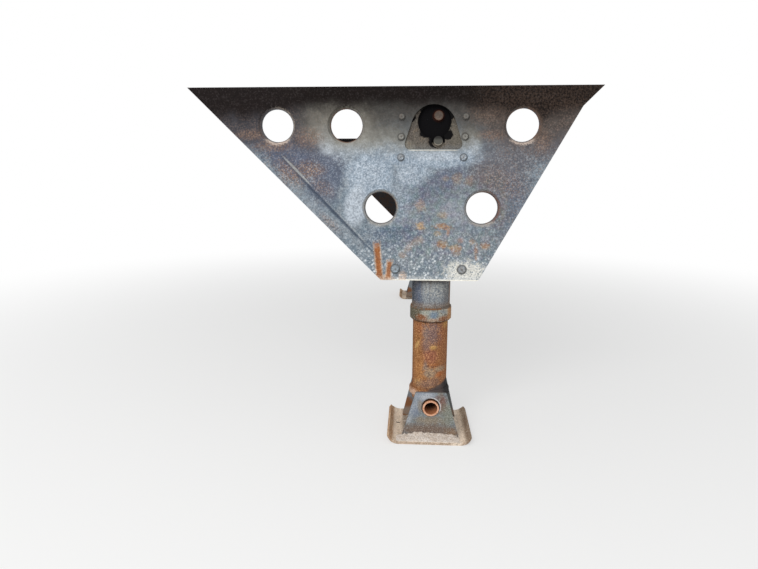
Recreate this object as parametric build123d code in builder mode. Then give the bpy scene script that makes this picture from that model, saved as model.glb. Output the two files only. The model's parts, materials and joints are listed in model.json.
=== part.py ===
from build123d import *
from math import acos, atan2, degrees, radians, sin
import os

os.makedirs("parts", exist_ok=True)

# A semi trailer's landing gear: two round telescoping legs, each bolted to a perforated wing plate.
# Millimetres. X points to the trailer's front, Y to its road side and Z up.
# The origin is on the trailer's centreline, in the plane where the plates' flanges meet the crossmembers.
SIDES = (("curb", -1), ("road", 1))

# Wing plates, with all their places in X and Z
PLATE_FACE = 1115.0
PLATE_T = 6.4
PLATE_INNER = PLATE_FACE - PLATE_T
PLATE_BOTTOM = -573.0
TOP_REAR, TOP_FRONT = -728.0, 484.0
BOTTOM_REAR, BOTTOM_FRONT = -152.0, 149.0
KINK_X, KINK_Z = 428.0, -57.0
FLANGE_W = 60.0
LIGHTENING_HOLES = (  # X, Z
    (-463, -109),
    (-255, -109),
    (262, -109),
    (-153, -350),
    (153, -350),
)
LIP_MOUTH_R, LIP_R = 56.0, 47.0
LIP_REACH, LIP_WALL = 8.6, 4.5
WINDOW_X = 2.5
WINDOW_TOP, WINDOW_BOTTOM = -50.0, -178.0
WINDOW_ARCH_R = 67.0
WINDOW_FOOT_HALF = 85.0
WINDOW_CORNER_R = 15.0
SWAGE_REAR = (-448, -197)
SWAGE_FRONT = (-176, -478)
SWAGE_W, SWAGE_CREST_W, SWAGE_H = 15.0, 6.0, 3.0

# Legs
LEG_X, LEG_Y = 9.0, 1030.0
OUTER_R, OUTER_BORE_R = 62.0, 58.0
INNER_R, INNER_BORE_R = 57.5, 51.5
OUTER_TOP, OUTER_BOTTOM = -110.0, -710.0
INNER_TOP, INNER_BOTTOM = -340.0, -988.0
COLLAR_R, COLLAR_TOP, COLLAR_LIP = 67.5, -672.0, 4.0
COLLAR_TOP_BEVEL, COLLAR_LOW_BEVEL = 2.0, 4.0
END_RING_R, END_RING_TOP, END_RING_BOTTOM = 67.0, -951.0, -972.0

# Brackets between a leg and its wing plate
BRACKET_T = 8.0
BRACKET_INNER = PLATE_INNER - BRACKET_T
HEAD_FLANGE = (-118, 115, -222, -40)  # low X, high X, low Z, high Z
FOOT_FLANGE = (-128, 120, -562, -512)
CASE_EYE = (5, -98, 49)  # X, Z, radius
CASE_LOBE = (17, -152.6, 20)

# Gear head on top of each leg
HEAD_W = 140.0
HEAD_INNER = 957.0
HEAD_TOP, HEAD_BOTTOM = -30.0, -225.0
HEAD_CORNER_R, HEAD_BEVEL = 22.0, 10.0
NECK_R, NECK_H = 69.0, 20.0
PIT_DEPTH = 6.0

# Cross shaft and crank
SHAFT_X, SHAFT_Z = 17.0, -81.0
CRANK_Z = -152.6
SHAFT_R = 14.0
RUNNING = 0.3
SHAFT_TIP = 1107.0
SHAFT_TUBE_R, SHAFT_TUBE_END = 19.0, 925.0
STUB_INNER_END = 865.0
BOSS_R, BOSS_L = 30.0, 18.0
PLUG_R, PLUG_OUT = 13.5, 9.0
CRANK_R = 12.5
CASE_GAP, CASE_OUT, CASE_BEVEL = 6.0, 1160.0, 6.0
LID_SHRINK, LID_OUT = 13.0, 1165.0
CRANK_BOSS_R, CRANK_BOSS_OUT = 20.0, 1179.0
CRANK_BORE_END, CRANK_SHAFT_END = 1135.0, 1136.0
YOKE_W, YOKE_NEAR, YOKE_END, YOKE_CORNER_R = 38.0, 1208.0, 1256.0, 7.0
TONGUE_T, TONGUE_R, TONGUE_L = 10.0, 15.0, 60.0
SLOT_PLAY, SLOT_CLEAR = 0.5, 2.0
PIVOT_Y, PIVOT_R, PIVOT_PROUD = 1238.0, 6.0, 2.0
ROD_R, ROD_START, ARM_DROP, ARM_BEND_R = 9.5, 50.0, 330.0, 30.0
GRIP_R, GRIP_ROOT, GRIP_TIP, ROD_TIP = 14.0, 1202.0, 1138.0, 1142.0

# Feet
PIN_X, PIN_Z = 13.0, -998.0
PIN_R, PIN_BORE_R, PIN_END = 26.5, 21.0, 87.0
EAR_T, EAR_GAP_HALF = 8.0, 74.0
EAR_HOLE_R, EAR_HOLE_RISE = 30.0, 3.0
EARS = (  # side of the leg (1 is outboard), top half width, top Z
    (1, 50, -945),
    (-1, 60, -953),
)
EAR_FOOT_HALF = 93.5
GROUND_Z, SHOE_T = -1106.0, 8.0
SHOE_HALF, SHOE_HALF_DEPTH = 138.0, 125.0
SHOE_CURL_R, SHOE_RISE, SHOE_CORNER_R = 40.0, 18.0, 20.0

# Lateral cross brace between the legs
BRACE_LEG, BRACE_T = 45.0, 5.0
TAB_T, TAB_REACH, TAB_HALF = 8.0, 895.0, 35.0
BRACE_HIGH, BRACE_LOW, BRACE_Y = -285.0, -532.0, 918.0
BRACE_OVERRUN = 18.0
SPACER_W = 40.0


def upright(y):
    """The vertical sketch plane at this Y, with X to the right and Z up, facing the curb side."""
    return Plane.XZ.offset(-y)


def span(side, a, b):
    """The high end and the length in Y of what lies between two distances from the centreline."""
    low, high = sorted((side * a, side * b))
    return high, high - low


def save(piece, name):
    piece.part.label = name
    export_step(piece.part, f"parts/{name}.step")


def wing_plate(side):
    """A flat plate with pressed-in holes, an arched window, a swage and a flange turned inboard on top."""
    high, thick = span(side, PLATE_INNER, PLATE_FACE)
    with BuildPart() as plate:
        with BuildSketch(upright(high)):
            with BuildLine():
                Polyline(
                    (TOP_REAR, 0),
                    (BOTTOM_REAR, PLATE_BOTTOM),
                    (BOTTOM_FRONT, PLATE_BOTTOM),
                    (KINK_X, KINK_Z),
                    (TOP_FRONT, 0),
                    close=True,
                )
            make_face()
            fillet(vertices().group_by(Axis.Y)[0], radius=12)
            add(window_outline(0), mode=Mode.SUBTRACT)
        extrude(amount=thick)
        flange_high, flange_w = span(side, PLATE_FACE, PLATE_INNER - FLANGE_W)
        with BuildSketch(Plane.XY.offset(-PLATE_T)):
            with Locations(((TOP_REAR + TOP_FRONT) / 2, flange_high - flange_w / 2)):
                Rectangle(TOP_FRONT - TOP_REAR - 2 * PLATE_T, flange_w)
        extrude(amount=PLATE_T)
        swage_line = Vector(*SWAGE_FRONT) - Vector(*SWAGE_REAR)
        slope = degrees(atan2(swage_line.Y, swage_line.X))
        for proud, width in ((-1, SWAGE_W), (SWAGE_H, SWAGE_CREST_W)):
            with BuildSketch(upright(side * (PLATE_FACE + proud))):
                with Locations((Vector(*SWAGE_FRONT) + Vector(*SWAGE_REAR)) / 2):
                    SlotCenterToCenter(swage_line.length, width, rotation=slope)
        loft()
        lip_depth = PLATE_T + LIP_REACH
        lip_middle = side * (PLATE_FACE - lip_depth / 2)
        inboard = (90 * side, 0, 0)
        with Locations(*[(x, lip_middle, z) for x, z in LIGHTENING_HOLES]):
            Cone(LIP_MOUTH_R + LIP_WALL, LIP_R + LIP_WALL, lip_depth, rotation=inboard)
            Cone(LIP_MOUTH_R, LIP_R, lip_depth, rotation=inboard, mode=Mode.SUBTRACT)
    return plate


def window_outline(shrink):
    """The arched window with splayed sides, or the same outline made smaller all round."""
    with BuildSketch(mode=Mode.PRIVATE) as outline:
        with Locations((WINDOW_X, WINDOW_TOP - WINDOW_ARCH_R)):
            Circle(WINDOW_ARCH_R - shrink)
        corner_x = WINDOW_FOOT_HALF - WINDOW_CORNER_R
        corner_z = WINDOW_BOTTOM + WINDOW_CORNER_R
        with Locations((WINDOW_X - corner_x, corner_z), (WINDOW_X + corner_x, corner_z)):
            Circle(WINDOW_CORNER_R - shrink)
        make_hull()
    return outline.sketch


def head_flange(side):
    """The flat mounting plate of a gear head, open round the shaft's end and the plug below it."""
    high, thick = span(side, BRACKET_INNER, PLATE_INNER)
    with BuildPart() as flange:
        with BuildSketch(upright(high)):
            flange_rectangle(HEAD_FLANGE)
            fillet(vertices(), radius=10)
            case_opening(Mode.SUBTRACT)
        extrude(amount=thick)
    return flange


def flange_rectangle(limits):
    low_x, high_x, low_z, high_z = limits
    with Locations(((low_x + high_x) / 2, (low_z + high_z) / 2)):
        Rectangle(high_x - low_x, high_z - low_z)


def case_opening(mode):
    """The round eye and its lower lobe, where the gear case shows."""
    for x, z, radius in (CASE_EYE, CASE_LOBE):
        with Locations((x, z)):
            Circle(radius, mode=mode)


def gear_head(side):
    """The cast case round the bevel gears, with a neck for the leg and a boss for the cross shaft."""
    high, deep = span(side, HEAD_INNER, BRACKET_INNER)
    with BuildPart() as head:
        with BuildSketch(Plane.XY.offset(HEAD_BOTTOM)):
            with Locations((LEG_X, high - deep / 2)):
                RectangleRounded(HEAD_W, deep, HEAD_CORNER_R)
        extrude(amount=HEAD_TOP - HEAD_BOTTOM)
        chamfer(faces().sort_by(Axis.Z)[-1].edges(), length=HEAD_BEVEL)
        with BuildSketch(Plane.XY.offset(HEAD_BOTTOM - NECK_H)):
            with Locations((LEG_X, side * LEG_Y)):
                Circle(NECK_R)
        extrude(amount=NECK_H)
        boss = span(side, HEAD_INNER - BOSS_L, HEAD_INNER)
        with BuildSketch(upright(boss[0])):
            with Locations((SHAFT_X, SHAFT_Z)):
                Circle(BOSS_R)
        extrude(amount=boss[1])
        with BuildSketch(Plane.XY.offset(HEAD_BOTTOM - NECK_H)):
            with Locations((LEG_X, side * LEG_Y)):
                Circle(OUTER_R)
        extrude(amount=OUTER_TOP - HEAD_BOTTOM + NECK_H, mode=Mode.SUBTRACT)
        if side < 0:
            pit = span(side, BRACKET_INNER - PIT_DEPTH, BRACKET_INNER)
            with BuildSketch(upright(pit[0])):
                case_opening(Mode.ADD)
            extrude(amount=pit[1], mode=Mode.SUBTRACT)
            plug = span(side, BRACKET_INNER - PIT_DEPTH, BRACKET_INNER - PIT_DEPTH + PLUG_OUT)
            with BuildSketch(upright(plug[0])):
                with Locations((SHAFT_X, CRANK_Z)):
                    Circle(PLUG_R)
            extrude(amount=plug[1])
        bore = span(side, HEAD_INNER - BOSS_L, BRACKET_INNER)
        with BuildSketch(upright(bore[0])):
            with Locations((SHAFT_X, SHAFT_Z)):
                Circle(SHAFT_R + RUNNING)
        extrude(amount=bore[1], mode=Mode.SUBTRACT)
    return head


def outer_tube(side):
    with BuildPart() as tube:
        with BuildSketch(Plane.XY.offset(OUTER_BOTTOM)):
            with Locations((LEG_X, side * LEG_Y)):
                Circle(OUTER_R)
                Circle(OUTER_BORE_R, mode=Mode.SUBTRACT)
        extrude(amount=OUTER_TOP - OUTER_BOTTOM)
    return tube


def collar(side):
    """The band round the outer tube's mouth, with a lip turned under the tube's end."""
    lip_z = OUTER_BOTTOM - COLLAR_LIP
    with BuildPart() as band:
        with BuildSketch(Plane.XY.offset(lip_z)):
            with Locations((LEG_X, side * LEG_Y)):
                Circle(COLLAR_R)
                Circle(INNER_R + 1, mode=Mode.SUBTRACT)
        extrude(amount=COLLAR_TOP - lip_z)
        with BuildSketch(Plane.XY.offset(OUTER_BOTTOM)):
            with Locations((LEG_X, side * LEG_Y)):
                Circle(OUTER_R)
        extrude(amount=COLLAR_TOP - OUTER_BOTTOM, mode=Mode.SUBTRACT)
        rims = edges().filter_by(GeomType.CIRCLE).filter_by(lambda e: e.radius > OUTER_R + 1)
        chamfer(rims.sort_by(Axis.Z)[-1], length=COLLAR_TOP_BEVEL)
        chamfer(rims.sort_by(Axis.Z)[0], length=COLLAR_LOW_BEVEL)
    return band


def foot_bracket(side):
    """The lower mounting plate of a leg, with two cheeks that reach round to the tube's sides."""
    high, thick = span(side, BRACKET_INNER, PLATE_INNER)
    cheek_high, cheek_deep = span(side, LEG_Y, BRACKET_INNER)
    low_z, high_z = FOOT_FLANGE[2:]
    with BuildPart() as bracket:
        with BuildSketch(upright(high)):
            flange_rectangle(FOOT_FLANGE)
            fillet(vertices(), radius=8)
        extrude(amount=thick)
        with BuildSketch(Plane.XY.offset(low_z)):
            for way in (-1, 1):
                with Locations((LEG_X + way * (OUTER_R - 1), cheek_high - cheek_deep / 2)):
                    Rectangle(BRACKET_T, cheek_deep)
            with Locations((LEG_X, side * LEG_Y)):
                Circle(OUTER_R, mode=Mode.SUBTRACT)
        extrude(amount=high_z - low_z)
    return bracket


def brace_tabs(side):
    """Two lugs on the leg's inboard side, one for each brace's end."""
    high, deep = span(side, TAB_REACH, LEG_Y - OUTER_R + 10)
    with BuildPart() as tabs:
        with BuildSketch(Plane.YZ.offset(LEG_X - TAB_T / 2)):
            for z in (BRACE_HIGH, BRACE_LOW):
                with Locations((high - deep / 2, z)):
                    RectangleRounded(deep, 2 * TAB_HALF, 9)
        extrude(amount=TAB_T)
        with BuildSketch(Plane.XY.offset(BRACE_LOW - 2 * TAB_HALF)):
            with Locations((LEG_X, side * LEG_Y)):
                Circle(OUTER_R)
        extrude(amount=BRACE_HIGH - BRACE_LOW + 4 * TAB_HALF, mode=Mode.SUBTRACT)
    return tabs


def brace(low_side, face):
    """An angle bar from one leg's lower lug to the other leg's upper lug, on the lugs' front or rear."""
    start = Vector(LEG_X, low_side * BRACE_Y, BRACE_LOW)
    end = Vector(LEG_X, -low_side * BRACE_Y, BRACE_HIGH)
    way = (end - start).normalized()
    section = Plane(origin=start - way * BRACE_OVERRUN, x_dir=(1, 0, 0), z_dir=way)
    flat_x = face * (TAB_T + BRACE_T) / 2
    standing_x = face * (TAB_T + BRACE_LEG) / 2
    edge_y = low_side * (BRACE_LEG - BRACE_T) / 2
    with BuildPart() as bar:
        with BuildSketch(section):
            with Locations((flat_x, 0)):
                Rectangle(BRACE_T, BRACE_LEG)
            with Locations((standing_x, edge_y)):
                Rectangle(BRACE_LEG, BRACE_T)
        extrude(amount=(end - start).length + 2 * BRACE_OVERRUN)
    return bar


def inner_tube(side):
    """The sliding leg, with a welded ring at its end and a saddle cut for the foot's pin."""
    with BuildPart() as tube:
        with BuildSketch(Plane.XY.offset(INNER_BOTTOM)):
            with Locations((LEG_X, side * LEG_Y)):
                Circle(INNER_R)
        extrude(amount=INNER_TOP - INNER_BOTTOM)
        with BuildSketch(Plane.XY.offset(END_RING_BOTTOM)):
            with Locations((LEG_X, side * LEG_Y)):
                Circle(END_RING_R)
        extrude(amount=END_RING_TOP - END_RING_BOTTOM)
        ring_edges = edges().filter_by(GeomType.CIRCLE).filter_by(lambda e: e.radius > INNER_R + 1)
        chamfer(ring_edges, length=3)
        with BuildSketch(Plane.XY.offset(INNER_BOTTOM)):
            with Locations((LEG_X, side * LEG_Y)):
                Circle(INNER_BORE_R)
        extrude(amount=INNER_TOP - INNER_BOTTOM, mode=Mode.SUBTRACT)
        saddle = span(side, LEG_Y - END_RING_R - 1, LEG_Y + END_RING_R + 1)
        with BuildSketch(upright(saddle[0])):
            with Locations((PIN_X, PIN_Z)):
                Circle(PIN_R)
        extrude(amount=saddle[1], mode=Mode.SUBTRACT)
    return tube


def foot_pin(side):
    """The hollow pin across the leg's end, which the foot's ears hang on."""
    high, long = span(side, LEG_Y - PIN_END, LEG_Y + PIN_END)
    with BuildPart() as pin:
        with BuildSketch(upright(high)):
            with Locations((PIN_X, PIN_Z)):
                Circle(PIN_R)
                Circle(PIN_BORE_R, mode=Mode.SUBTRACT)
        extrude(amount=long)
    return pin


def foot_shoe(side):
    """The ground plate, with its front and rear ends curled up and its corners rounded."""
    high, deep = span(side, LEG_Y - SHOE_HALF_DEPTH - 1, LEG_Y + SHOE_HALF_DEPTH + 1)
    floor_z = GROUND_Z + SHOE_T
    turn = degrees(acos(1 - SHOE_RISE / SHOE_CURL_R))
    outer_r = SHOE_CURL_R + SHOE_T
    flat = SHOE_HALF - outer_r * sin(radians(turn))
    centre_z = floor_z + SHOE_CURL_R
    with BuildPart() as shoe:
        with BuildSketch(upright(high)):
            with Locations((LEG_X, GROUND_Z + SHOE_T / 2)):
                Rectangle(2 * flat, SHOE_T)
            for way, start in ((1, -90), (-1, -90 - turn)):
                centre = (LEG_X + way * flat, centre_z)
                with BuildLine():
                    lower = CenterArc(centre, outer_r, start, turn)
                    upper = CenterArc(centre, SHOE_CURL_R, start, turn)
                    Line(lower @ 0, upper @ 0)
                    Line(lower @ 1, upper @ 1)
                make_face()
        extrude(amount=deep)
        with BuildSketch(Plane.XY.offset(GROUND_Z)):
            with Locations((LEG_X, side * LEG_Y)):
                RectangleRounded(2 * SHOE_HALF, 2 * SHOE_HALF_DEPTH, SHOE_CORNER_R)
        extrude(amount=2 * outer_r, mode=Mode.INTERSECT)
    return shoe


def foot_ears(side):
    """The two upright ears of a foot, their holes a little larger than the pin, which sits low in them."""
    floor_z = GROUND_Z + SHOE_T
    with BuildPart() as ears:
        for way, top_half, top_z in EARS:
            near = LEG_Y + way * EAR_GAP_HALF
            high, thick = span(side, near, near + way * EAR_T)
            with BuildSketch(upright(high)):
                with BuildLine():
                    Polyline(
                        (PIN_X - top_half, top_z),
                        (PIN_X - EAR_FOOT_HALF, floor_z),
                        (PIN_X + EAR_FOOT_HALF, floor_z),
                        (PIN_X + top_half, top_z),
                        close=True,
                    )
                make_face()
                fillet(vertices().group_by(Axis.Y)[-1], radius=6)
                with Locations((PIN_X, PIN_Z + EAR_HOLE_RISE)):
                    Circle(EAR_HOLE_R, mode=Mode.SUBTRACT)
            extrude(amount=thick)
    return ears


for name, side in SIDES:
    save(wing_plate(side), f"wing_plate_{name}")
    save(head_flange(side), f"head_flange_{name}")
    save(gear_head(side), f"gear_head_{name}")
    save(outer_tube(side), f"outer_tube_{name}")
    save(collar(side), f"collar_{name}")
    save(foot_bracket(side), f"leg_bracket_{name}")
    save(brace_tabs(side), f"brace_tabs_{name}")
    save(inner_tube(side), f"inner_tube_{name}")
    save(foot_pin(side), f"foot_pin_{name}")
    save(foot_shoe(side), f"foot_shoe_{name}")
    save(foot_ears(side), f"foot_ears_{name}")

save(brace(-1, 1), "brace_front")
save(brace(1, -1), "brace_rear")

# Spacer where the two braces cross
with BuildPart() as brace_spacer:
    with BuildSketch(Plane.YZ.offset(LEG_X - TAB_T / 2)):
        with Locations((0, (BRACE_HIGH + BRACE_LOW) / 2)):
            Rectangle(SPACER_W, SPACER_W)
    extrude(amount=TAB_T)
save(brace_spacer, "brace_spacer")

# Cross shaft: a tube pinned over a stub at each gear head
for name, side in SIDES:
    tip = SHAFT_TIP if side < 0 else PLATE_INNER - 1
    high, long = span(side, STUB_INNER_END, tip)
    outboard = Axis((0, 0, 0), (0, side, 0))
    with BuildPart() as shaft_stub:
        with BuildSketch(upright(high)):
            with Locations((SHAFT_X, SHAFT_Z)):
                Circle(SHAFT_R)
        extrude(amount=long)
        chamfer(faces().sort_by(outboard)[-1].edges(), length=1.5)
    save(shaft_stub, f"shaft_stub_{name}")

with BuildPart() as cross_shaft:
    with BuildSketch(upright(SHAFT_TUBE_END)):
        with Locations((SHAFT_X, SHAFT_Z)):
            Circle(SHAFT_TUBE_R)
            Circle(SHAFT_R, mode=Mode.SUBTRACT)
    extrude(amount=2 * SHAFT_TUBE_END)
save(cross_shaft, "cross_shaft")

# Gear case that fills the road side's window, with a raised lid and a boss for the crank's shaft
with BuildPart() as crank_case:
    with BuildSketch(upright(CASE_OUT)):
        add(window_outline(CASE_GAP))
    extrude(amount=CASE_OUT - PLATE_INNER)
    chamfer(faces().sort_by(Axis.Y)[-1].edges(), length=CASE_BEVEL)
    with BuildSketch(upright(LID_OUT)):
        add(window_outline(LID_SHRINK))
    extrude(amount=LID_OUT - CASE_OUT)
    with BuildSketch(upright(CRANK_BOSS_OUT)):
        with Locations((SHAFT_X, CRANK_Z)):
            Circle(CRANK_BOSS_R)
    extrude(amount=CRANK_BOSS_OUT - CASE_OUT)
    with BuildSketch(upright(CRANK_BOSS_OUT)):
        with Locations((SHAFT_X, CRANK_Z)):
            Circle(CRANK_R + RUNNING)
    extrude(amount=CRANK_BOSS_OUT - CRANK_BORE_END, mode=Mode.SUBTRACT)
save(crank_case, "crank_case")

# Crank shaft with a forked end
with BuildPart() as crank_shaft:
    with BuildSketch(upright(YOKE_NEAR)):
        with Locations((SHAFT_X, CRANK_Z)):
            Circle(CRANK_R)
    extrude(amount=YOKE_NEAR - CRANK_SHAFT_END)
    with BuildSketch(upright(YOKE_END)):
        with Locations((SHAFT_X, CRANK_Z)):
            RectangleRounded(YOKE_W, YOKE_W, YOKE_CORNER_R)
    extrude(amount=YOKE_END - YOKE_NEAR)
    with BuildSketch(upright(YOKE_END)):
        with Locations((SHAFT_X, CRANK_Z)):
            Rectangle(TONGUE_T + 2 * SLOT_PLAY, YOKE_W)
    extrude(amount=YOKE_END - PIVOT_Y + TONGUE_R + SLOT_CLEAR, mode=Mode.SUBTRACT)
    with BuildSketch(Plane.YZ.offset(SHAFT_X - YOKE_W / 2)):
        with Locations((PIVOT_Y, CRANK_Z)):
            Circle(PIVOT_R)
    extrude(amount=YOKE_W, mode=Mode.SUBTRACT)
save(crank_shaft, "crank_shaft")

# Folding crank handle, hanging from the fork with its grip turned inboard
with BuildPart() as crank_handle:
    with BuildSketch(Plane.YZ.offset(SHAFT_X - TONGUE_T / 2)):
        with Locations((PIVOT_Y, CRANK_Z)):
            Circle(TONGUE_R)
        with Locations((PIVOT_Y, CRANK_Z - TONGUE_L / 2)):
            Rectangle(2 * TONGUE_R, TONGUE_L)
        with Locations((PIVOT_Y, CRANK_Z)):
            Circle(PIVOT_R + RUNNING, mode=Mode.SUBTRACT)
    extrude(amount=TONGUE_T)
    with BuildLine() as arm_path:
        FilletPolyline(
            (SHAFT_X, PIVOT_Y, CRANK_Z - ROD_START),
            (SHAFT_X, PIVOT_Y, CRANK_Z - ARM_DROP),
            (SHAFT_X, ROD_TIP, CRANK_Z - ARM_DROP),
            radius=ARM_BEND_R,
        )
    with BuildSketch(Plane(origin=arm_path.line @ 0, x_dir=(1, 0, 0), z_dir=arm_path.line % 0)):
        Circle(ROD_R)
    sweep(path=arm_path.line)
save(crank_handle, "crank_handle")

with BuildPart() as crank_grip:
    with BuildSketch(upright(GRIP_ROOT)):
        with Locations((SHAFT_X, CRANK_Z - ARM_DROP)):
            Circle(GRIP_R)
            Circle(ROD_R, mode=Mode.SUBTRACT)
    extrude(amount=GRIP_ROOT - GRIP_TIP)
save(crank_grip, "crank_grip")

with BuildPart() as crank_pin:
    with BuildSketch(Plane.YZ.offset(SHAFT_X - YOKE_W / 2 - PIVOT_PROUD)):
        with Locations((PIVOT_Y, CRANK_Z)):
            Circle(PIVOT_R)
    extrude(amount=YOKE_W + 2 * PIVOT_PROUD)
save(crank_pin, "crank_pin")
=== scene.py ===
# %% [markdown]
# # A semi trailer's landing gear, finished for rendering
# The set stood under a working trailer for years. Its steel plates are weathered blue-grey with
# a chalky bloom, its sliding legs are orange with rust and its feet are grey with road dust.
# The solid shapes come packed from the CAD model, in metres, and nothing here moves them. This
# script gives every surface its finish, and adds what is too small for the solids: bolts, nuts,
# weld beads, grease fittings, drain plugs and the dirt that has caked on the feet.

# %% Load the packed model
import json
import math
import random

import bpy
from mathutils import Matrix, Vector, noise


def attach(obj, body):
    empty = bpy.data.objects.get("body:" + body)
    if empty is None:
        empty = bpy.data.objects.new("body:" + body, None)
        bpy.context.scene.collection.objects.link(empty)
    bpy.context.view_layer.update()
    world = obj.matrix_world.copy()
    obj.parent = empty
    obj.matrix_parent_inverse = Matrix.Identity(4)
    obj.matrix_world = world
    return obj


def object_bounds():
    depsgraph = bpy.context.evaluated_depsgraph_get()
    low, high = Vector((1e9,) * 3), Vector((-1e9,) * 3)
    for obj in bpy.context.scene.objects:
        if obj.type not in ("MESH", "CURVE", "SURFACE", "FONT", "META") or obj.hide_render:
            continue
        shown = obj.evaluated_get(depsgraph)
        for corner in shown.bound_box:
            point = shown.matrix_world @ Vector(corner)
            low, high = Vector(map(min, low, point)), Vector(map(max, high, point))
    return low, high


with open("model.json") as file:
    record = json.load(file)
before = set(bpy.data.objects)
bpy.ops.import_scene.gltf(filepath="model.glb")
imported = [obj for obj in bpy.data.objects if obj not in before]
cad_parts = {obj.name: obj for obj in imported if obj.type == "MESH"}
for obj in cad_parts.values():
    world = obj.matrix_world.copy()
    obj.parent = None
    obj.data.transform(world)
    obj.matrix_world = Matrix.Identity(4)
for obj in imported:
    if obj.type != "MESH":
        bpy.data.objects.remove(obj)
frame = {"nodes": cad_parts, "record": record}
CAD_LOW, CAD_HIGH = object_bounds()
NODES = frame["nodes"]
print("nodes:", len(NODES), "size in metres:", [round(v, 3) for v in CAD_HIGH - CAD_LOW])

# %% [markdown]
# ## The camera
# The photograph was taken from the kerb side, about hip high, looking down a little. The place,
# the three angles and the lens were worked out from known sizes. A Track To constraint could aim
# the camera too, but named angles can be read and corrected one at a time. A camera in Blender
# looks along its own -Z, so the turn is built up in steps: the small roll comes first, then the
# lift to the horizon with the pitch, and the heading last.

# %% Place the camera
CAMERA_PLACE = Vector((-0.0653, -2.7272, -0.2557))
HEADING, PITCH, ROLL = math.radians(3.26), math.radians(-11.61), math.radians(0.126)
LENS_MM = 25.05

camera_data = bpy.data.cameras.new("camera")
camera_data.lens = LENS_MM
camera = bpy.data.objects.new("camera", camera_data)
bpy.context.scene.collection.objects.link(camera)
camera.matrix_world = (
    Matrix.Translation(CAMERA_PLACE)
    @ Matrix.Rotation(HEADING, 4, "Z")
    @ Matrix.Rotation(math.pi / 2 + PITCH, 4, "X")
    @ Matrix.Rotation(ROLL, 4, "Z")
)
bpy.context.scene.camera = camera
print("camera height over the ground:", round(CAMERA_PLACE.z - CAD_LOW.z, 3), "m")

# %% [markdown]
# ## Shader maths as Python
# A material in Blender is a graph of nodes, and so is the world round the set. Wiring each node
# by hand hides the idea behind the plumbing, so a Wire stands for one socket and adds a Math
# node when it is used in an expression. Colours are written as they look on screen, from 0 to
# 255. Light adds up in linear values instead, and `screen` works those out.


# %% One socket
def screen(colour):
    """A colour as it looks on screen, as the linear values that light adds up in."""
    return tuple(((v / 255 + 0.055) / 1.055) ** 2.4 for v in colour)


class Wire:
    """One output socket, so that shader maths reads as ordinary arithmetic."""

    def __init__(self, graph, socket):
        self.graph = graph
        self.socket = socket

    def __add__(self, other):
        return self.graph.maths("ADD", self, other)

    def __sub__(self, other):
        return self.graph.maths("SUBTRACT", self, other)

    def __rsub__(self, other):
        return self.graph.maths("SUBTRACT", other, self)

    def __mul__(self, other):
        return self.graph.maths("MULTIPLY", self, other)

    __radd__, __rmul__ = __add__, __mul__


print("mid grey on screen is", round(screen((128, 128, 128))[0], 3), "in linear values")

# %% [markdown]
# Every other node comes from one method, which takes its settings and the values or links of its
# sockets. The other methods are steps that all the finishes share: the larger of two values, a
# smooth threshold that makes a mask, and a mix of two colours. They could be part of a material,
# but the world has a graph too, so they are kept apart from what only a material needs.


# %% One graph of nodes
class Graph:
    """A graph of nodes, for one material or for the world."""

    def __init__(self, tree):
        self.tree = tree

    def node(self, kind, settings=None, inputs=None, output=0):
        made = self.tree.nodes.new(kind)
        for key, value in (settings or {}).items():
            setattr(made, key, value)
        for key, value in (inputs or {}).items():
            self.plug(made.inputs[key], value)
        return Wire(self, made.outputs[output])

    def maths(self, operation, *values):
        return self.node("ShaderNodeMath", {"operation": operation}, dict(enumerate(values)))

    def plug(self, socket, value):
        """Links a wire to a socket, or sets the socket to a number or a colour."""
        if isinstance(value, Wire):
            self.tree.links.new(value.socket, socket)
        elif socket.type == "RGBA":
            socket.default_value = (*screen(value), 1)
        else:
            socket.default_value = value

    def split(self, vector):
        parts = self.node("ShaderNodeSeparateXYZ", inputs={0: vector})
        return [Wire(self, output) for output in parts.socket.node.outputs]

    def over(self, value, low, high):
        """0 below `low`, 1 above `high` and smooth between them."""
        ends = {"Value": value, "From Min": low, "From Max": high}
        return self.node("ShaderNodeMapRange", {"interpolation_type": "SMOOTHSTEP"}, ends)

    def under(self, value, low, high):
        """1 below `low` and 0 above `high`."""
        return 1 - self.over(value, low, high)

    def larger(self, first, second):
        return self.maths("MAXIMUM", first, second)

    def smaller(self, first, second):
        return self.maths("MINIMUM", first, second)

    def size_of(self, value):
        return self.maths("ABSOLUTE", value)

    def vector(self, operation, first, second=(0, 0, 0), output="Vector"):
        inputs = {0: first, 1: second}
        return self.node("ShaderNodeVectorMath", {"operation": operation}, inputs, output)

    def scaled(self, vector, factor):
        """A colour or a vector times a number."""
        return self.node("ShaderNodeVectorMath", {"operation": "SCALE"}, {0: vector, "Scale": factor})

    def blend(self, mask, first, second):
        """The first colour where the mask is 0, and the second where it is 1."""
        mix = {"data_type": "RGBA", "clamp_factor": True}
        factor, colour_a, colour_b, colour_out = 0, 6, 7, 2
        return self.node("ShaderNodeMix", mix, {factor: mask, colour_a: first, colour_b: second}, colour_out)

    def sightline(self):
        """1 for the rays that look at the background: from the camera, off metal or through glass."""
        kinds = ("Is Camera Ray", "Is Glossy Ray", "Is Transmission Ray")
        straight, off_metal, through_glass = (self.node("ShaderNodeLightPath", output=kind) for kind in kinds)
        return self.larger(self.larger(straight, off_metal), through_glass)


print("steps of a graph:", [name for name in vars(Graph) if not name.startswith("_")])

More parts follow.
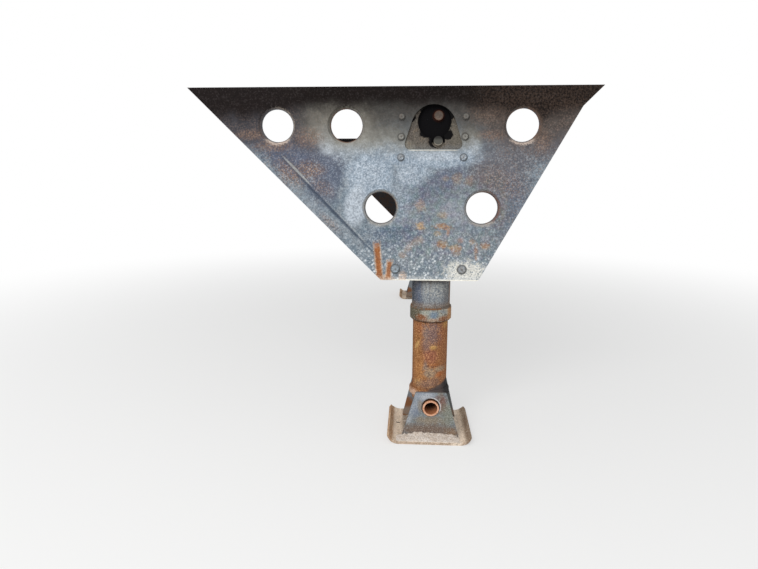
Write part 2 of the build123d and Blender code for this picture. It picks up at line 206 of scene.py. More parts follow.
# %% [markdown]
# A Finish is one material, and its methods work like a painter's: `grain` and `dots` make
# textures, `stains` and `between` turn places into masks, and `lay` puts a colour on where a
# mask is 1. Pictures could hold the marks, but the steel would first have to be unwrapped flat.
# Here masks are worked out from the object's own coordinates, which are metres on the real set,
# so a stain stays where it belongs. A stretched distance from a point gives an oval, noise added
# to that distance roughens its edge, and a smooth threshold makes the mask. Old paint, rust and
# dust reflect far less than Blender's usual surface does, so one low gloss serves every finish.

# %% One material
GLOSS = 0.07


class Finish(Graph):
    """One material, with the paint laid on it so far."""

    def __init__(self, name, ground=(128, 128, 128)):
        self.name = name
        self.material = bpy.data.materials.new(f"finish_{name}")
        self.material.use_nodes = True
        super().__init__(self.material.node_tree)
        self.surface = self.tree.nodes["Principled BSDF"]
        self.point = self.node("ShaderNodeTexCoord", output="Object")
        self.x, self.y, self.z = self.split(self.point)
        self.flat = self.node("ShaderNodeCombineXYZ", None, {0: self.x, 1: self.z})
        self.surface.inputs["Specular IOR Level"].default_value = GLOSS
        self.paint = ground

    def grain(self, scale, detail=3.0, rough=0.6, stretch=(1, 1, 1), shift=0.0):
        """Noise from 0 to 1, `scale` lumps to the metre. A small stretch draws them out that way."""
        place = {"Vector": self.point, "Location": (shift,) * 3, "Scale": stretch}
        moved = self.node("ShaderNodeMapping", None, place)
        inputs = {"Vector": moved, "Scale": scale, "Detail": detail, "Roughness": rough}
        return self.node("ShaderNodeTexNoise", None, inputs)

    def dots(self, scale, size):
        """1 on round flecks that lie `scale` to the metre, each up to `size` of that spacing across."""
        cell = self.node("ShaderNodeTexVoronoi", None, {"Vector": self.point, "Scale": scale})
        return self.under(cell, size * 0.3, size * 0.5)

    def between(self, low, high):
        """1 where the distance from the centreline, whatever the side, lies between two values."""
        out = self.size_of(self.y)
        return self.over(out, low - 0.001, low + 0.001) * self.under(out, high - 0.001, high + 0.001)

    def away(self, x, z, half_x, half_z, turn=0.0, square=False):
        """How far a point is from an oval's middle in X and Z: 0 there, 1 on the edge."""
        cos, sin = math.cos(math.radians(turn)), math.sin(math.radians(turn))
        out = self.vector("SUBTRACT", self.flat, (x, z, 0))
        along = self.vector("DOT_PRODUCT", out, (cos / half_x, -sin / half_x, 0), "Value")
        across = self.vector("DOT_PRODUCT", out, (sin / half_z, cos / half_z, 0), "Value")
        if square:
            return self.larger(self.size_of(along), self.size_of(across))
        both = self.node("ShaderNodeCombineXYZ", None, {0: along, 1: across})
        return self.vector("LENGTH", both, output="Value")

    def from_middle(self, x, z, radius):
        """How far a point is from a circle's middle in X and Z, counted in its radius."""
        return self.away(x, z, radius, radius)

    def nearest(self, places, radius):
        """How far the nearest of several places in X and Z is, counted in one radius."""
        distance = 1e3
        for x, z in places:
            distance = self.smaller(distance, self.from_middle(x, z, radius))
        return distance

    def stains(self, rows, ragged, soft=0.4, square=False):
        """The strongest of several ovals. Rows: x, z, half x, half z, turn in degrees, strength."""
        mask = 0.0
        for x, z, half_x, half_z, turn, strength in rows:
            distance = self.away(x, z, half_x, half_z, turn, square) + ragged
            mask = self.larger(mask, self.under(distance, 1 - soft, 1 + soft) * strength)
        return mask

    def facing(self, axis):
        """How squarely the bare surface faces along an axis, either way: 1 is square on."""
        normal = self.node("ShaderNodeNewGeometry", output="Normal")
        return self.size_of(self.split(normal)[axis])

    def lay(self, mask, colour):
        """Lays a colour over the paint where the mask is 1."""
        self.paint = self.blend(mask, self.paint, colour)

    def marks(self, table, ragged, soft=0.6):
        """Lays each colour of a table over its own ovals."""
        for colour, rows in table:
            self.lay(self.stains(rows, ragged, soft), colour)

    def shade(self, factor):
        """Makes the paint lighter or darker by a factor."""
        self.paint = self.scaled(self.paint, factor)

    def pepper(self, grain, dark, pale, share):
        """Peppers the paint with dark and pale flecks, at the low and the high end of a grain."""
        self.lay(self.under(grain, 0.36, 0.48) * share, dark)
        self.lay(self.over(grain, 0.52, 0.64) * share, pale)
        self.shade(self.over(grain, 0.34, 0.66) * share + (1 - share * 0.5))

    def wear(self, height, depth_m, **sockets):
        """Hands the paint to the shader, with a relief `depth_m` deep and its other inputs."""
        self.plug(self.surface.inputs["Base Color"], self.paint)
        bump = self.node("ShaderNodeBump", None, {"Height": height, "Distance": depth_m})
        self.plug(self.surface.inputs["Normal"], bump)
        for key, value in sockets.items():
            self.plug(self.surface.inputs[key.replace("_", " ").title()], value)


print("gloss of every finish:", GLOSS)

# %% [markdown]
# ## The wing plates
# This is the face that the photograph shows best, and its paint has weathered in zones. A bleached
# cloud reaches from behind the second hole round the window's foot, with dark slate-blue on both
# sides of it, and the rest is a blue-grey. An image painted by hand could hold the zones. Ovals
# in metres are used instead, because each one can be moved or tinted alone and stays sharp in a
# close view. One `wander` of three sizes of noise roughens every edge, so no oval shows as such.

# %% Weathered plate: zones of paint
plate = Finish("weathered_plate", (115, 128, 138))
broad = plate.grain(7.0, detail=3.0)
patch = plate.grain(26.0, detail=5.0, rough=0.65)
mottle = plate.grain(64.0, detail=5.0, rough=0.72)
speckle = plate.grain(230.0, detail=2.0, rough=0.7)
crumbs = plate.grain(190.0, detail=3.0, rough=0.7, shift=3.1)
wander = (broad - 0.5) * 0.55 + (patch - 0.5) * 0.75 + (speckle - 0.5) * 0.8

PAINT_ZONES = (  # colour, then ovals: x, z, half x, half z, turn, strength
    ((84, 87, 100), ((-0.52, -0.100, 0.150, 0.075, 0, 0.90), (-0.405, -0.180, 0.095, 0.045, 0, 0.95))),
    ((90, 97, 114), ((-0.315, -0.255, 0.052, 0.095, 15, 0.85), (-0.415, -0.215, 0.085, 0.042, 30, 0.90))),
    ((100, 97, 101), ((0.290, -0.130, 0.140, 0.085, 0, 0.90), (0.200, -0.235, 0.110, 0.065, -20, 0.80))),
    ((100, 108, 121), ((0.232, -0.335, 0.055, 0.085, 15, 0.85), (0.066, -0.300, 0.030, 0.026, 0, 0.60))),
    ((94, 102, 120), ((0.020, -0.275, 0.085, 0.032, -33, 0.85), (-0.045, -0.330, 0.035, 0.040, 0, 0.40))),
    ((90, 107, 125), ((-0.100, -0.425, 0.085, 0.022, 0, 0.85), (-0.150, -0.455, 0.050, 0.020, 0, 0.60))),
    ((148, 156, 163), ((0.072, -0.366, 0.036, 0.040, 0, 0.80), (-0.340, -0.375, 0.100, 0.024, 44, 0.30))),
)
BLEACHED = (
    (-0.254, -0.116, 0.104, 0.084, 0, 0.90),
    (-0.318, -0.106, 0.040, 0.050, 0, 0.60),
    (-0.165, -0.160, 0.130, 0.060, 0, 0.80),
    (-0.185, -0.260, 0.080, 0.100, 0, 0.80),
    (-0.105, -0.330, 0.060, 0.080, 0, 0.52),
    (-0.010, -0.205, 0.150, 0.030, 0, 0.90),
    (-0.055, -0.245, 0.075, 0.045, -30, 0.75),
    (0.105, -0.160, 0.036, 0.060, 0, 0.85),
)
BRIGHTEST = (
    (-0.228, -0.345, 0.034, 0.065, 10, 0.80),
    (-0.190, -0.250, 0.055, 0.045, 0, 0.40),
    (0.010, -0.197, 0.080, 0.016, 0, 0.65),
    (0.117, -0.170, 0.018, 0.030, 0, 0.50),
    (-0.075, -0.250, 0.045, 0.040, 0, 0.40),
    (-0.312, -0.146, 0.032, 0.056, 0, 0.70),
    (-0.268, -0.207, 0.036, 0.030, 0, 0.35),
)
plate.lay(plate.over(patch, 0.42, 0.62), (134, 143, 150))
plate.marks(PAINT_ZONES, wander, soft=0.4)
dusty = plate.over(plate.z + (patch - 0.5) * 0.06, -0.215, -0.140)
cloud = plate.stains(BLEACHED, wander, soft=0.5) + (speckle - 0.5) * 0.7 * (1 - dusty)
bleached = plate.over(cloud, 0.15, 0.90)
plate.lay(bleached * 0.9, plate.blend(dusty, (150, 164, 178), (146, 145, 137)))
brightest = plate.over(plate.stains(BRIGHTEST, wander, soft=0.5) + (speckle - 0.5) * 0.8, 0.15, 0.85)
plate.lay(brightest * (1 - dusty * 0.6), (178, 187, 196))
print("paint zones:", sum(len(rows) for _, rows in PAINT_ZONES) + len(BLEACHED) + len(BRIGHTEST))

# %% [markdown]
# Grime has settled along the top, where rain never washes the steel, and painted shade darkens it
# further. Both reach deeper at the ends than in the middle: a thin brown veil of grime and painted
# shade comes down to the window's foot, and above it the steel is nearly black. A plain gradient on
# height would look like a painted band, so the same noises lift and lower the height before it is
# made a mask. Round the second hole the veil is rubbed thin and leaves a warm, pale halo.

# %% Weathered plate: grime and painted shade along the top
ends = plate.over(plate.size_of(plate.x + 0.105), 0.16, 0.42) * (1 - plate.over(plate.x, 0.28, 0.42) * 0.5)
height = plate.z + ends * 0.030 + (broad - 0.5) * 0.05 + (patch - 0.5) * 0.04 + (speckle - 0.5) * 0.03
rear, front = plate.under(plate.x, -0.46, -0.34), plate.over(plate.x, 0.06, 0.22)
veil_and_shade = plate.blend(front, plate.blend(rear, (71, 67, 61), (62, 60, 63)), (76, 68, 62))
grime_and_shade = plate.over(height, -0.085, -0.030)
# Grime and painted shade: a brown veil, then nearly black steel towards the top.
plate.lay(plate.over(height, -0.195, -0.080) * 0.92, veil_and_shade)
plate.lay(grime_and_shade * 0.98, plate.blend(rear, (20, 14, 12), (25, 19, 18)))
plate.lay(grime_and_shade * plate.over(speckle, 0.52, 0.64) * 0.14, (92, 86, 86))
clear_of_grime_and_shade = 1 - grime_and_shade * 0.95
halo = plate.stains(((-0.272, -0.118, 0.092, 0.074, 0, 1.0),), wander, soft=0.5)
plate.lay(halo * (1 - grime_and_shade) * 0.24, (176, 170, 157))
print("grime laid over", len(PAINT_ZONES), "colours of paint")

# %% [markdown]
# Rust comes in two kinds. Where grime has held water the paint has gone brown in ragged patches,
# and lower down single blisters have opened, each an ochre fleck or two across a thumb's width.
# One noise over the whole plate would spread rust evenly, which steel doesn't do. Here each patch
# has its place, and a finer noise is multiplied in, so the share of rust falls off at its edge.
# A faint noise of many hues lies over the lower middle, where the old paint has dulled unevenly.

# %% Weathered plate: rust patches and blisters
RUSTED = (
    (-0.540, -0.135, 0.045, 0.014, 0, 0.80),
    (-0.475, -0.168, 0.050, 0.014, 0, 0.80),
    (-0.370, -0.145, 0.040, 0.026, 0, 0.75),
    (-0.425, -0.250, 0.045, 0.028, 40, 0.85),
    (-0.365, -0.238, 0.040, 0.024, 0, 1.00),
    (-0.330, -0.290, 0.040, 0.022, 30, 0.55),
    (-0.310, -0.395, 0.040, 0.014, 44, 0.60),
    (0.172, -0.138, 0.036, 0.014, 0, 0.65),
    (0.318, -0.155, 0.022, 0.030, 0, 0.70),
    (0.160, -0.060, 0.055, 0.040, 0, 0.60),
    (0.380, -0.045, 0.045, 0.020, 0, 0.85),
    (0.290, -0.035, 0.060, 0.018, 0, 0.70),
    (0.210, -0.275, 0.080, 0.035, 20, 0.55),
)
BLISTERS = (  # colour, then ovals
    ((142, 122, 104), (
        (0.076, -0.262, 0.015, 0.015, 0, 0.9),
        (0.040, -0.262, 0.010, 0.008, 0, 0.7),
        (0.110, -0.268, 0.014, 0.013, 0, 0.8),
        (0.212, -0.348, 0.012, 0.050, 0, 0.5),
    )),
    ((180, 152, 126), (
        (-0.033, -0.343, 0.015, 0.016, 0, 0.8),
        (0.036, -0.370, 0.014, 0.009, 0, 0.8),
        (-0.035, -0.448, 0.016, 0.012, 0, 0.6),
        (-0.067, -0.472, 0.010, 0.026, 35, 0.6),
        (-0.084, -0.494, 0.014, 0.010, 35, 0.6),
        (0.080, -0.488, 0.014, 0.009, 0, 0.6),
    )),
    ((196, 164, 116), ((-0.033, -0.405, 0.015, 0.011, 0, 1.3), (0.020, -0.427, 0.011, 0.007, 0, 0.8))),
    ((186, 132, 74), (
        (0.035, -0.406, 0.024, 0.008, 8, 1.0),
        (0.054, -0.420, 0.006, 0.014, 0, 0.8),
        (0.038, -0.461, 0.014, 0.012, 0, 0.9),
        (0.075, -0.471, 0.022, 0.009, 0, 0.8),
        (0.127, -0.453, 0.010, 0.009, 0, 0.6),
        (0.139, -0.472, 0.006, 0.016, 0, 0.8),
        (0.141, -0.500, 0.004, 0.008, 0, 0.7),
        (0.092, -0.448, 0.008, 0.008, 0, 0.5),
        (0.166, -0.465, 0.012, 0.010, 0, 0.8),
    )),
)
flaked = plate.over(crumbs, 0.42, 0.58)
rusted = plate.stains(RUSTED, wander, soft=0.6) * (flaked * 0.65 + 0.25) * clear_of_grime_and_shade
plate.lay(rusted, plate.blend(plate.over(speckle, 0.42, 0.60), (110, 88, 76), (150, 122, 102)))
plate.lay(grime_and_shade * front * flaked * 0.36, (84, 68, 58))
opened = plate.over(crumbs, 0.30, 0.54) * 0.70 + 0.15
for colour, rows in BLISTERS:
    plate.lay(plate.stains(rows, (crumbs - 0.5) * 1.6 + (mottle - 0.5) * 3.0, soft=0.5) * opened, colour)
HUE_BRIGHTNESS = 0.42
many_hues = {"Vector": plate.point, "Scale": 55.0, "Detail": 4.0}
hues = plate.scaled(plate.node("ShaderNodeTexNoise", None, many_hues, "Color"), HUE_BRIGHTNESS)
lower_middle = plate.stains(((0.050, -0.400, 0.190, 0.150, 0, 1.0),), wander)
plate.lay(lower_middle * 0.22, hues)
toward_ends = plate.over(plate.x, 0.10, 0.24) * 0.42 + plate.under(plate.x, -0.46, -0.30) * 0.35
scattered = (toward_ends + 0.12) * clear_of_grime_and_shade * plate.over(crumbs, 0.50, 0.60) * plate.over(patch, 0.34, 0.56)
plate.lay(scattered, (130, 111, 102))
print("rust patches:", len(RUSTED), "blisters:", sum(len(rows) for _, rows in BLISTERS))

# %% [markdown]
# The whole face is peppered with flecks, dark where dirt sits in the paint's pores and white
# where the paint lifts. The white ones are largest and closest in the lower half. Noise gives
# worms rather than dots, so the large flecks are Voronoi cells, and noise only thins them out.

# %% Weathered plate: flecks
low_down = plate.under(plate.z + (patch - 0.5) * 0.10, -0.53, -0.34)
far_down = plate.under(plate.z + (patch - 0.5) * 0.05, -0.545, -0.47)
large_flecks = plate.dots(105.0, 0.90) * plate.over(mottle, 0.42, 0.57)
quiet = (1 - dusty * 0.85) * clear_of_grime_and_shade
share = low_down * 0.46 + far_down * 0.40 + bleached * 0.15 + 0.04
plate.lay(large_flecks * share * quiet, (216, 220, 222))
share = low_down * 0.12 + bleached * 0.22 + 0.15
plate.lay(plate.over(speckle, 0.53, 0.63) * share * quiet, (204, 210, 216))
plate.lay(plate.under(speckle, 0.38, 0.48) * (0.28 - bleached * 0.06) * quiet, (82, 90, 108))
print("flecks: large, small and dark")

# %% [markdown]
# Chalk from splashed water lies round the front bolt and along the bottom edge, and a painted
# highlight draws a thin pale line along that edge. On the near plate two orange streaks run down
# at the rear corner, with square ends like brush strokes, and meet in a pale wash on the edge.
# They are boxes rather than ovals, each over a slightly larger, paler box that makes its halo. A
# mask on Y keeps them off the far plate.

# %% Weathered plate: chalk and streaks
CHALK = ((0.107, -0.546, 0.062, 0.036, 0, 1.0),)
splash = plate.stains(CHALK, (mottle - 0.5) * 2.4 + wander * 0.6, soft=0.25)
plate.lay(splash * plate.over(crumbs, 0.36, 0.50) * 0.92, (226, 224, 215))
edge_chalk = plate.under(plate.z + (mottle - 0.5) * 0.060, -0.5745, -0.5540) * plate.over(crumbs, 0.36, 0.50)
plate.lay(edge_chalk * plate.over(plate.x, -0.125, -0.095) * 0.75, (216, 218, 216))
# Painted highlight: a thin pale line along the plate's bottom edge.
bottom_edge_highlight = plate.under(plate.z, -0.5705, -0.5680) * plate.over(plate.x, -0.130, -0.105)
plate.lay(bottom_edge_highlight * 0.95, (244, 240, 228))

kerb_side = plate.under(plate.y, -0.01, 0.01)
RUN_OUT = ((-0.140, -0.568, 0.030, 0.012, 0, 0.90), (-0.084, -0.562, 0.013, 0.018, 0, 0.80))
washed = plate.stains(RUN_OUT, (crumbs - 0.5) * 2.4, soft=0.3) * (flaked * 0.7 + 0.25)
plate.lay(washed * kerb_side, (220, 190, 164))
STREAKS = ((-0.1600, -0.512, 0.0078, 0.050, -5, 1.0), (-0.1270, -0.541, 0.0060, 0.026, 6, 0.90))
HALO_X, HALO_Z, HALO_STRENGTH = 0.0034, 0.003, 0.75
HALOS = []
for x, z, half_x, half_z, turn, _ in STREAKS:
    HALOS.append((x, z, half_x + HALO_X, half_z + HALO_Z, turn, HALO_STRENGTH))
fringe = (mottle - 0.5) * 0.7 + (crumbs - 0.5) * 1.0
plate.lay(plate.stains(HALOS, fringe, soft=0.30, square=True) * kerb_side, (204, 172, 144))
orange = plate.blend(plate.over(crumbs, 0.40, 0.60), (140, 78, 34), (166, 104, 58))
plate.lay(plate.stains(STREAKS, fringe, soft=0.30, square=True) * kerb_side * 0.92, orange)
print("streaks:", len(STREAKS))

# %% [markdown]
# Each pressed hole has its own rim: dusty, pale or rusty, and not alike on its rear side, its
# front side and its bottom, whose paler colour is partly a painted highlight. A ring is a band of
# distance from the hole's middle, and one loop paints all five from a table. The swage's crest is
# pale at its upper end, rubbed and with a painted highlight, and painted shade darkens its foot. A
# faint dark line crosses the plate under its lower holes, and a painted highlight draws a pale line
# along the window's foot.

# %% Weathered plate: rims, the swage and the window's foot
# The bottom colours are partly a painted highlight, where the rim faces up.
RIMS = (  # x, z, strength, then the colours of the rear, the front and the bottom
    (-0.463, -0.109, 0.85, (104, 98, 98), (158, 146, 134), (228, 208, 192)),
    (-0.255, -0.109, 0.55, (132, 128, 118), (150, 147, 138), (168, 165, 156)),
    (0.262, -0.109, 0.80, (100, 92, 86), (112, 92, 80), (224, 204, 188)),
    (-0.153, -0.350, 0.80, (188, 182, 172), (160, 152, 140), (178, 174, 166)),
    (0.153, -0.350, 0.85, (172, 174, 172), (128, 84, 64), (188, 180, 170)),
)
HOLE_R = 0.047
for x, z, strength, *colours in RIMS:
    lit_rim_bottom = plate.under(plate.z, z - 0.046, z - 0.034)
    ring = plate.under(plate.from_middle(x, z, HOLE_R) + (crumbs - 0.5) * 0.5, 1.06, 1.18 + lit_rim_bottom * 0.10)
    sides = plate.blend(plate.over(plate.x, x - 0.030, x + 0.035), colours[0], colours[1])
    plate.lay(ring * strength, plate.blend(lit_rim_bottom, sides, colours[2]))

SWAGE_FALL, SWAGE_RUN = 0.281, 0.272
SWAGE_TURN = math.degrees(math.atan2(SWAGE_FALL, SWAGE_RUN))
# The swage's crest is rubbed pale and given a painted highlight, strongest at its upper end.
crest_wear_and_highlight = ((-0.405, -0.241, 0.055, 0.0038, SWAGE_TURN, 1.0), (-0.250, -0.402, 0.110, 0.0024, SWAGE_TURN, 0.35))
plate.lay(plate.stains(crest_wear_and_highlight, (mottle - 0.5) * 0.8, soft=0.3) * 0.75, (162, 164, 162))
# Painted shade along the swage's foot.
swage_foot_shade = ((-0.3060, -0.3530, 0.175, 0.0052, SWAGE_TURN, 1.0),)
plate.lay(plate.stains(swage_foot_shade, (mottle - 0.5) * 0.6, soft=0.6) * 0.80, (66, 76, 92))
faint_line = plate.under(plate.size_of(plate.z - plate.x * 0.08 + 0.4135), 0.0008, 0.0030)
plate.lay(faint_line * 0.18, (84, 90, 100))
SILL_X, SILL_Z = 0.002, -0.1805
# Painted highlight: a pale line along the window's foot.
sill_highlight = plate.under(plate.size_of(plate.z - SILL_Z), 0.0008, 0.0026)
plate.lay(sill_highlight * plate.under(plate.size_of(plate.x - SILL_X), 0.062, 0.078) * 0.7, (206, 202, 190))
print("rims:", len(RIMS))

# %% [markdown]
# The plate's bolts are as weathered as the steel round them, so one finish serves both. Each sits
# in a dark ring, with a dark dot in the middle of its head, and the window's bolts have a pale
# painted highlight on their heads. The distance to the nearest bolt paints all of them at once,
# and needs no material of their own.

# %% Weathered plate: bolts' heads and rings
WINDOW_BOLTS = (
    (-0.091, -0.085),
    (-0.092, -0.142),
    (-0.093, -0.201),
    (0.095, -0.085),
    (0.0945, -0.142),
    (0.092, -0.201),
)
FOOT_BOLTS = ((-0.107, -0.537), (0.098, -0.537))
WINDOW_WASHER, FOOT_WASHER = 0.0108, 0.0142
to_foot_bolt = plate.nearest(FOOT_BOLTS, FOOT_WASHER)
to_window_bolt = plate.nearest(WINDOW_BOLTS, WINDOW_WASHER)
to_bolt = plate.smaller(to_window_bolt, to_foot_bolt) + (mottle - 0.5) * 0.20
# Painted highlight: a pale tone on the window bolts' heads.
plate.lay(plate.under(to_window_bolt, 0.60, 0.78) * (1 - grime_and_shade) * 0.20, (176, 174, 167))
foot_bolt_steel = plate.blend(plate.over(plate.x, -0.01, 0.01), (160, 174, 184), (136, 142, 148))
plate.lay(plate.under(to_foot_bolt, 0.90, 1.10) * 0.8, foot_bolt_steel)
plate.lay(plate.under(to_bolt, 0.70, 0.90) * plate.over(crumbs, 0.44, 0.60) * 0.50, (108, 96, 86))
plate.lay(plate.over(to_bolt, 0.76, 0.86) * plate.under(to_bolt, 1.00, 1.20) * 0.68, (76, 74, 72))
plate.lay(plate.under(to_bolt, 0.16, 0.32) * 0.50, (74, 70, 66))
print("bolts' heads:", len(WINDOW_BOLTS) + len(FOOT_BOLTS))

# %% [markdown]
# The last coats follow the plate's form. Its cut edges are rustier than its faces, which the
# normal tells apart. The inboard face never saw the sun and is browner, and on the far plate,
# seen through a hole, painted shade makes it nearly black. A normal that points outwards has the
# sign of Y, so their product is below 0 on the inboard face of either plate, whichever side it
# stands on.

# %% Weathered plate: edges, inboard face and relief
fine_shade = plate.over(speckle, 0.34, 0.66) * (0.22 - dusty * 0.08)
plate.shade(0.79 - dusty * 0.01 + fine_shade + plate.over(mottle, 0.34, 0.66) * (0.20 + dusty * 0.06))
edge = plate.under(plate.larger(plate.facing(1), plate.facing(2) * 0.9), 0.25, 0.55)
plate.lay(edge * 0.65, plate.blend(mottle, (126, 118, 110), (92, 74, 64)))
_, normal_y, _ = plate.split(plate.node("ShaderNodeNewGeometry", output="Normal"))
outward = normal_y * plate.maths("SIGN", plate.y)
on_nuts = plate.under(plate.size_of(plate.y), 1.1005, 1.1085)
back = plate.larger(plate.under(outward, -0.6, -0.3), on_nuts)
back_paint = plate.blend(plate.over(mottle, 0.40, 0.60), (80, 82, 88), (100, 102, 105))
back_rust = plate.over(mottle + (broad - 0.5) * 0.9 + (crumbs - 0.5) * 0.4, 0.50, 0.62) * 0.75
plate.lay(back, plate.blend(back_rust, back_paint, plate.blend(crumbs, (96, 66, 48), (134, 94, 66))))
# Painted shade: the far plate's inboard face is darkened nearly to black.
plate.lay(back * (1 - kerb_side) * 0.84, (16, 10, 8))
plate.wear(speckle * 0.6 + mottle * 0.8, 0.0007, roughness=0.66 + rusted * 0.2 + mottle * 0.12)
print("plate shader nodes:", len(plate.tree.nodes))

# %% [markdown]
# ## Behind the window
# The gear head's mounting plate fills the window's foot. Old grease has crept from the case's
# opening over its edge and up to the window's arch, so the opening looks larger and scalloped.
# The scallops could be cut into the solid, but they are only black grease on flat steel, so a
# few ovals with hard edges paint them. Drips are noise drawn out along Z.

# %% Greasy flange
flange = Finish("greasy_flange", (94, 88, 82))
flange_mottle = flange.grain(60.0, detail=4.0, rough=0.7)
flange_runs = flange.grain(95.0, detail=3.0, stretch=(1, 1, 0.15))
flange_fine = flange.grain(240.0, detail=2.0, rough=0.7)
flange.lay(flange.over(flange_runs, 0.46, 0.60) * 0.7, (104, 98, 90))
flange.lay(flange.under(flange_runs, 0.38, 0.50) * 0.6, (74, 67, 60))
flange.lay(flange.over(flange.x, 0.030, 0.060) * 0.5, (104, 100, 90))
flange.lay(flange.under(flange.z + (flange_mottle - 0.5) * 0.03, -0.176, -0.158) * 0.8, (112, 111, 108))
WORN_CORNER = ((-0.078, -0.172, 0.022, 0.020, 0, 1.0),)
flange.lay(flange.stains(WORN_CORNER, (flange_mottle - 0.5) * 1.5) * 0.7, (138, 134, 124))
flange.lay(flange.over(flange_mottle, 0.54, 0.64) * 0.4, (120, 106, 90))
flange.lay(flange.over(flange.z + (flange_mottle - 0.5) * 0.03, -0.130, -0.070) * 0.75, (46, 41, 37))
flange.pepper(flange_fine, (60, 54, 48), (128, 120, 108), 0.3)
GREASED = (
    (0.007, -0.098, 0.047, 0.045, 0, 1.0),
    (0.012, -0.154, 0.024, 0.020, 0, 1.0),
    (0.008, -0.064, 0.045, 0.026, 0, 1.0),
    (0.048, -0.074, 0.026, 0.020, 0, 1.0),
    (0.044, -0.136, 0.016, 0.014, 0, 1.0),
    (-0.022, -0.132, 0.016, 0.012, 0, 1.0),
)
greased = flange.stains(GREASED, (flange.grain(110.0, detail=2.0) - 0.5) * 0.7, soft=0.10)
flange.lay(greased, (9, 8, 9))
# Painted shade: a small gap at the flange's corner is painted black.
gap = flange.stains(((-0.0555, -0.0915, 0.0032, 0.0095, 35, 1.0),), 0.0, soft=0.15)
flange.lay(gap, (4, 4, 4))
flange.lay(flange.under(flange.z + (flange_mottle - 0.5) * 0.02, -0.560, -0.500) * 0.7, (112, 112, 112))
flange.wear(flange_mottle + greased * 1.2, 0.0010, roughness=0.85 - greased * 0.15)
print("grease ovals:", len(GREASED))

# %% [markdown]
# Inside the opening the case is black with grease. A dark red-brown ring of rust and oil lies
# round the shaft, whose end is rubbed bare, and the plug below is pale at its rim. The case is
# one solid with one finish, so `between` keeps these marks to the first two centimetres behind
# the plate and leaves the rest of the casting grey.

# %% Gear case
SHAFT_X, SHAFT_Z, CRANK_Z = 0.017, -0.081, -0.1526
OPENING_R, NOTCH_R, SHAFT_R, PLUG_R = 0.049, 0.020, 0.014, 0.0135
case = Finish("gear_case", (70, 67, 65))
case_mottle = case.grain(55.0, detail=4.0, rough=0.7)
case.lay(case.over(case_mottle, 0.40, 0.64), (84, 79, 74))
case.lay(case.over(case.grain(90.0, shift=5.0), 0.56, 0.66) * 0.7, (110, 78, 58))
opening = case.larger(
    case.under(case.from_middle(0.005, -0.098, OPENING_R), 1.0, 1.04),
    case.under(case.from_middle(SHAFT_X, CRANK_Z, NOTCH_R), 1.0, 1.04),
)
in_pit = opening * case.between(1.090, 1.107)
case.lay(in_pit, (8, 7, 9))
notch_foot = case.under(case.z + (case_mottle - 0.5) * 0.012, CRANK_Z - 0.010, CRANK_Z - 0.002)
case.lay(in_pit * notch_foot * 0.9, (146, 138, 126))
round_shaft = case.from_middle(SHAFT_X, SHAFT_Z, SHAFT_R) + (case_mottle - 0.5) * 0.3
case.lay(in_pit * case.under(round_shaft, 1.15, 1.45) * 0.85, (40, 19, 15))
on_plug = case.under(case.from_middle(SHAFT_X, CRANK_Z, PLUG_R), 0.96, 1.0) * case.between(1.101, 1.107)
plug_rim = case.over(case.from_middle(SHAFT_X, CRANK_Z + 0.003, PLUG_R), 0.95, 1.10)
case.lay(on_plug, case.blend(plug_rim, (86, 85, 80), (142, 134, 122)))
plug_top = case.over(case.z + (case_mottle - 0.5) * 0.006, CRANK_Z - 0.001, CRANK_Z + 0.010)
case.lay(on_plug * plug_top * 0.8, (34, 32, 32))
case.wear(case_mottle, 0.0009, roughness=0.75)
print("case shader nodes:", len(case.tree.nodes))

# %% [markdown]
# The shaft's bare end shows in the middle of the opening, with a painted highlight on its lower
# half, and brown round its rim. It is a solid of its own, and the crank's pin and the grease
# fittings share its finish. Full `metallic` would make a mirror of it. This steel is worn dull, so
# it gets a little metal only, because bare steel reflects in its own colour.

# %% Bare ends of the shafts
bright = Finish("bright_shaft", (86, 76, 69))
bright_mottle = bright.grain(240.0, detail=3.0)
bright.lay(bright.over(bright_mottle, 0.46, 0.62) * 0.7, (74, 64, 58))
# Painted highlight: the lower half of the shaft's end is paler.
highlit_lower_half = bright.under(bright.z + (bright_mottle - 0.5) * 0.02, SHAFT_Z - 0.012, SHAFT_Z)
bright.lay(highlit_lower_half * 0.8, (112, 98, 88))
from_shaft = bright.from_middle(SHAFT_X, SHAFT_Z, SHAFT_R) + (bright_mottle - 0.5) * 0.3
bright.lay(bright.over(from_shaft, 0.72, 0.98) * bright.between(1.090, 1.120) * 0.8, (80, 58, 48))
bright.lay(bright.under(bright.facing(1), 0.5, 0.9) * 0.8, (108, 72, 56))
bright.wear(bright_mottle, 0.0004, metallic=0.2, roughness=0.6)
print("bare ends: shader nodes", len(bright.tree.nodes))

# %% [markdown]
# ## The legs
# The outer tube keeps its blue-grey paint: dark blue towards its rear edge, where painted shade
# darkens it further, crackled and pale in the middle, and grey with a rusty edge in front. A band
# of painted shadow lies along its top, under the plate. The photograph shows it nearly square on,
# so bands along X put each tone where it belongs, and the same bands run round the far side of the
# tube. A low stretch along Z draws noise out downwards into the runs that rain leaves, and one
# noise of many small cells, cut at its middle, makes the crackle's lace.

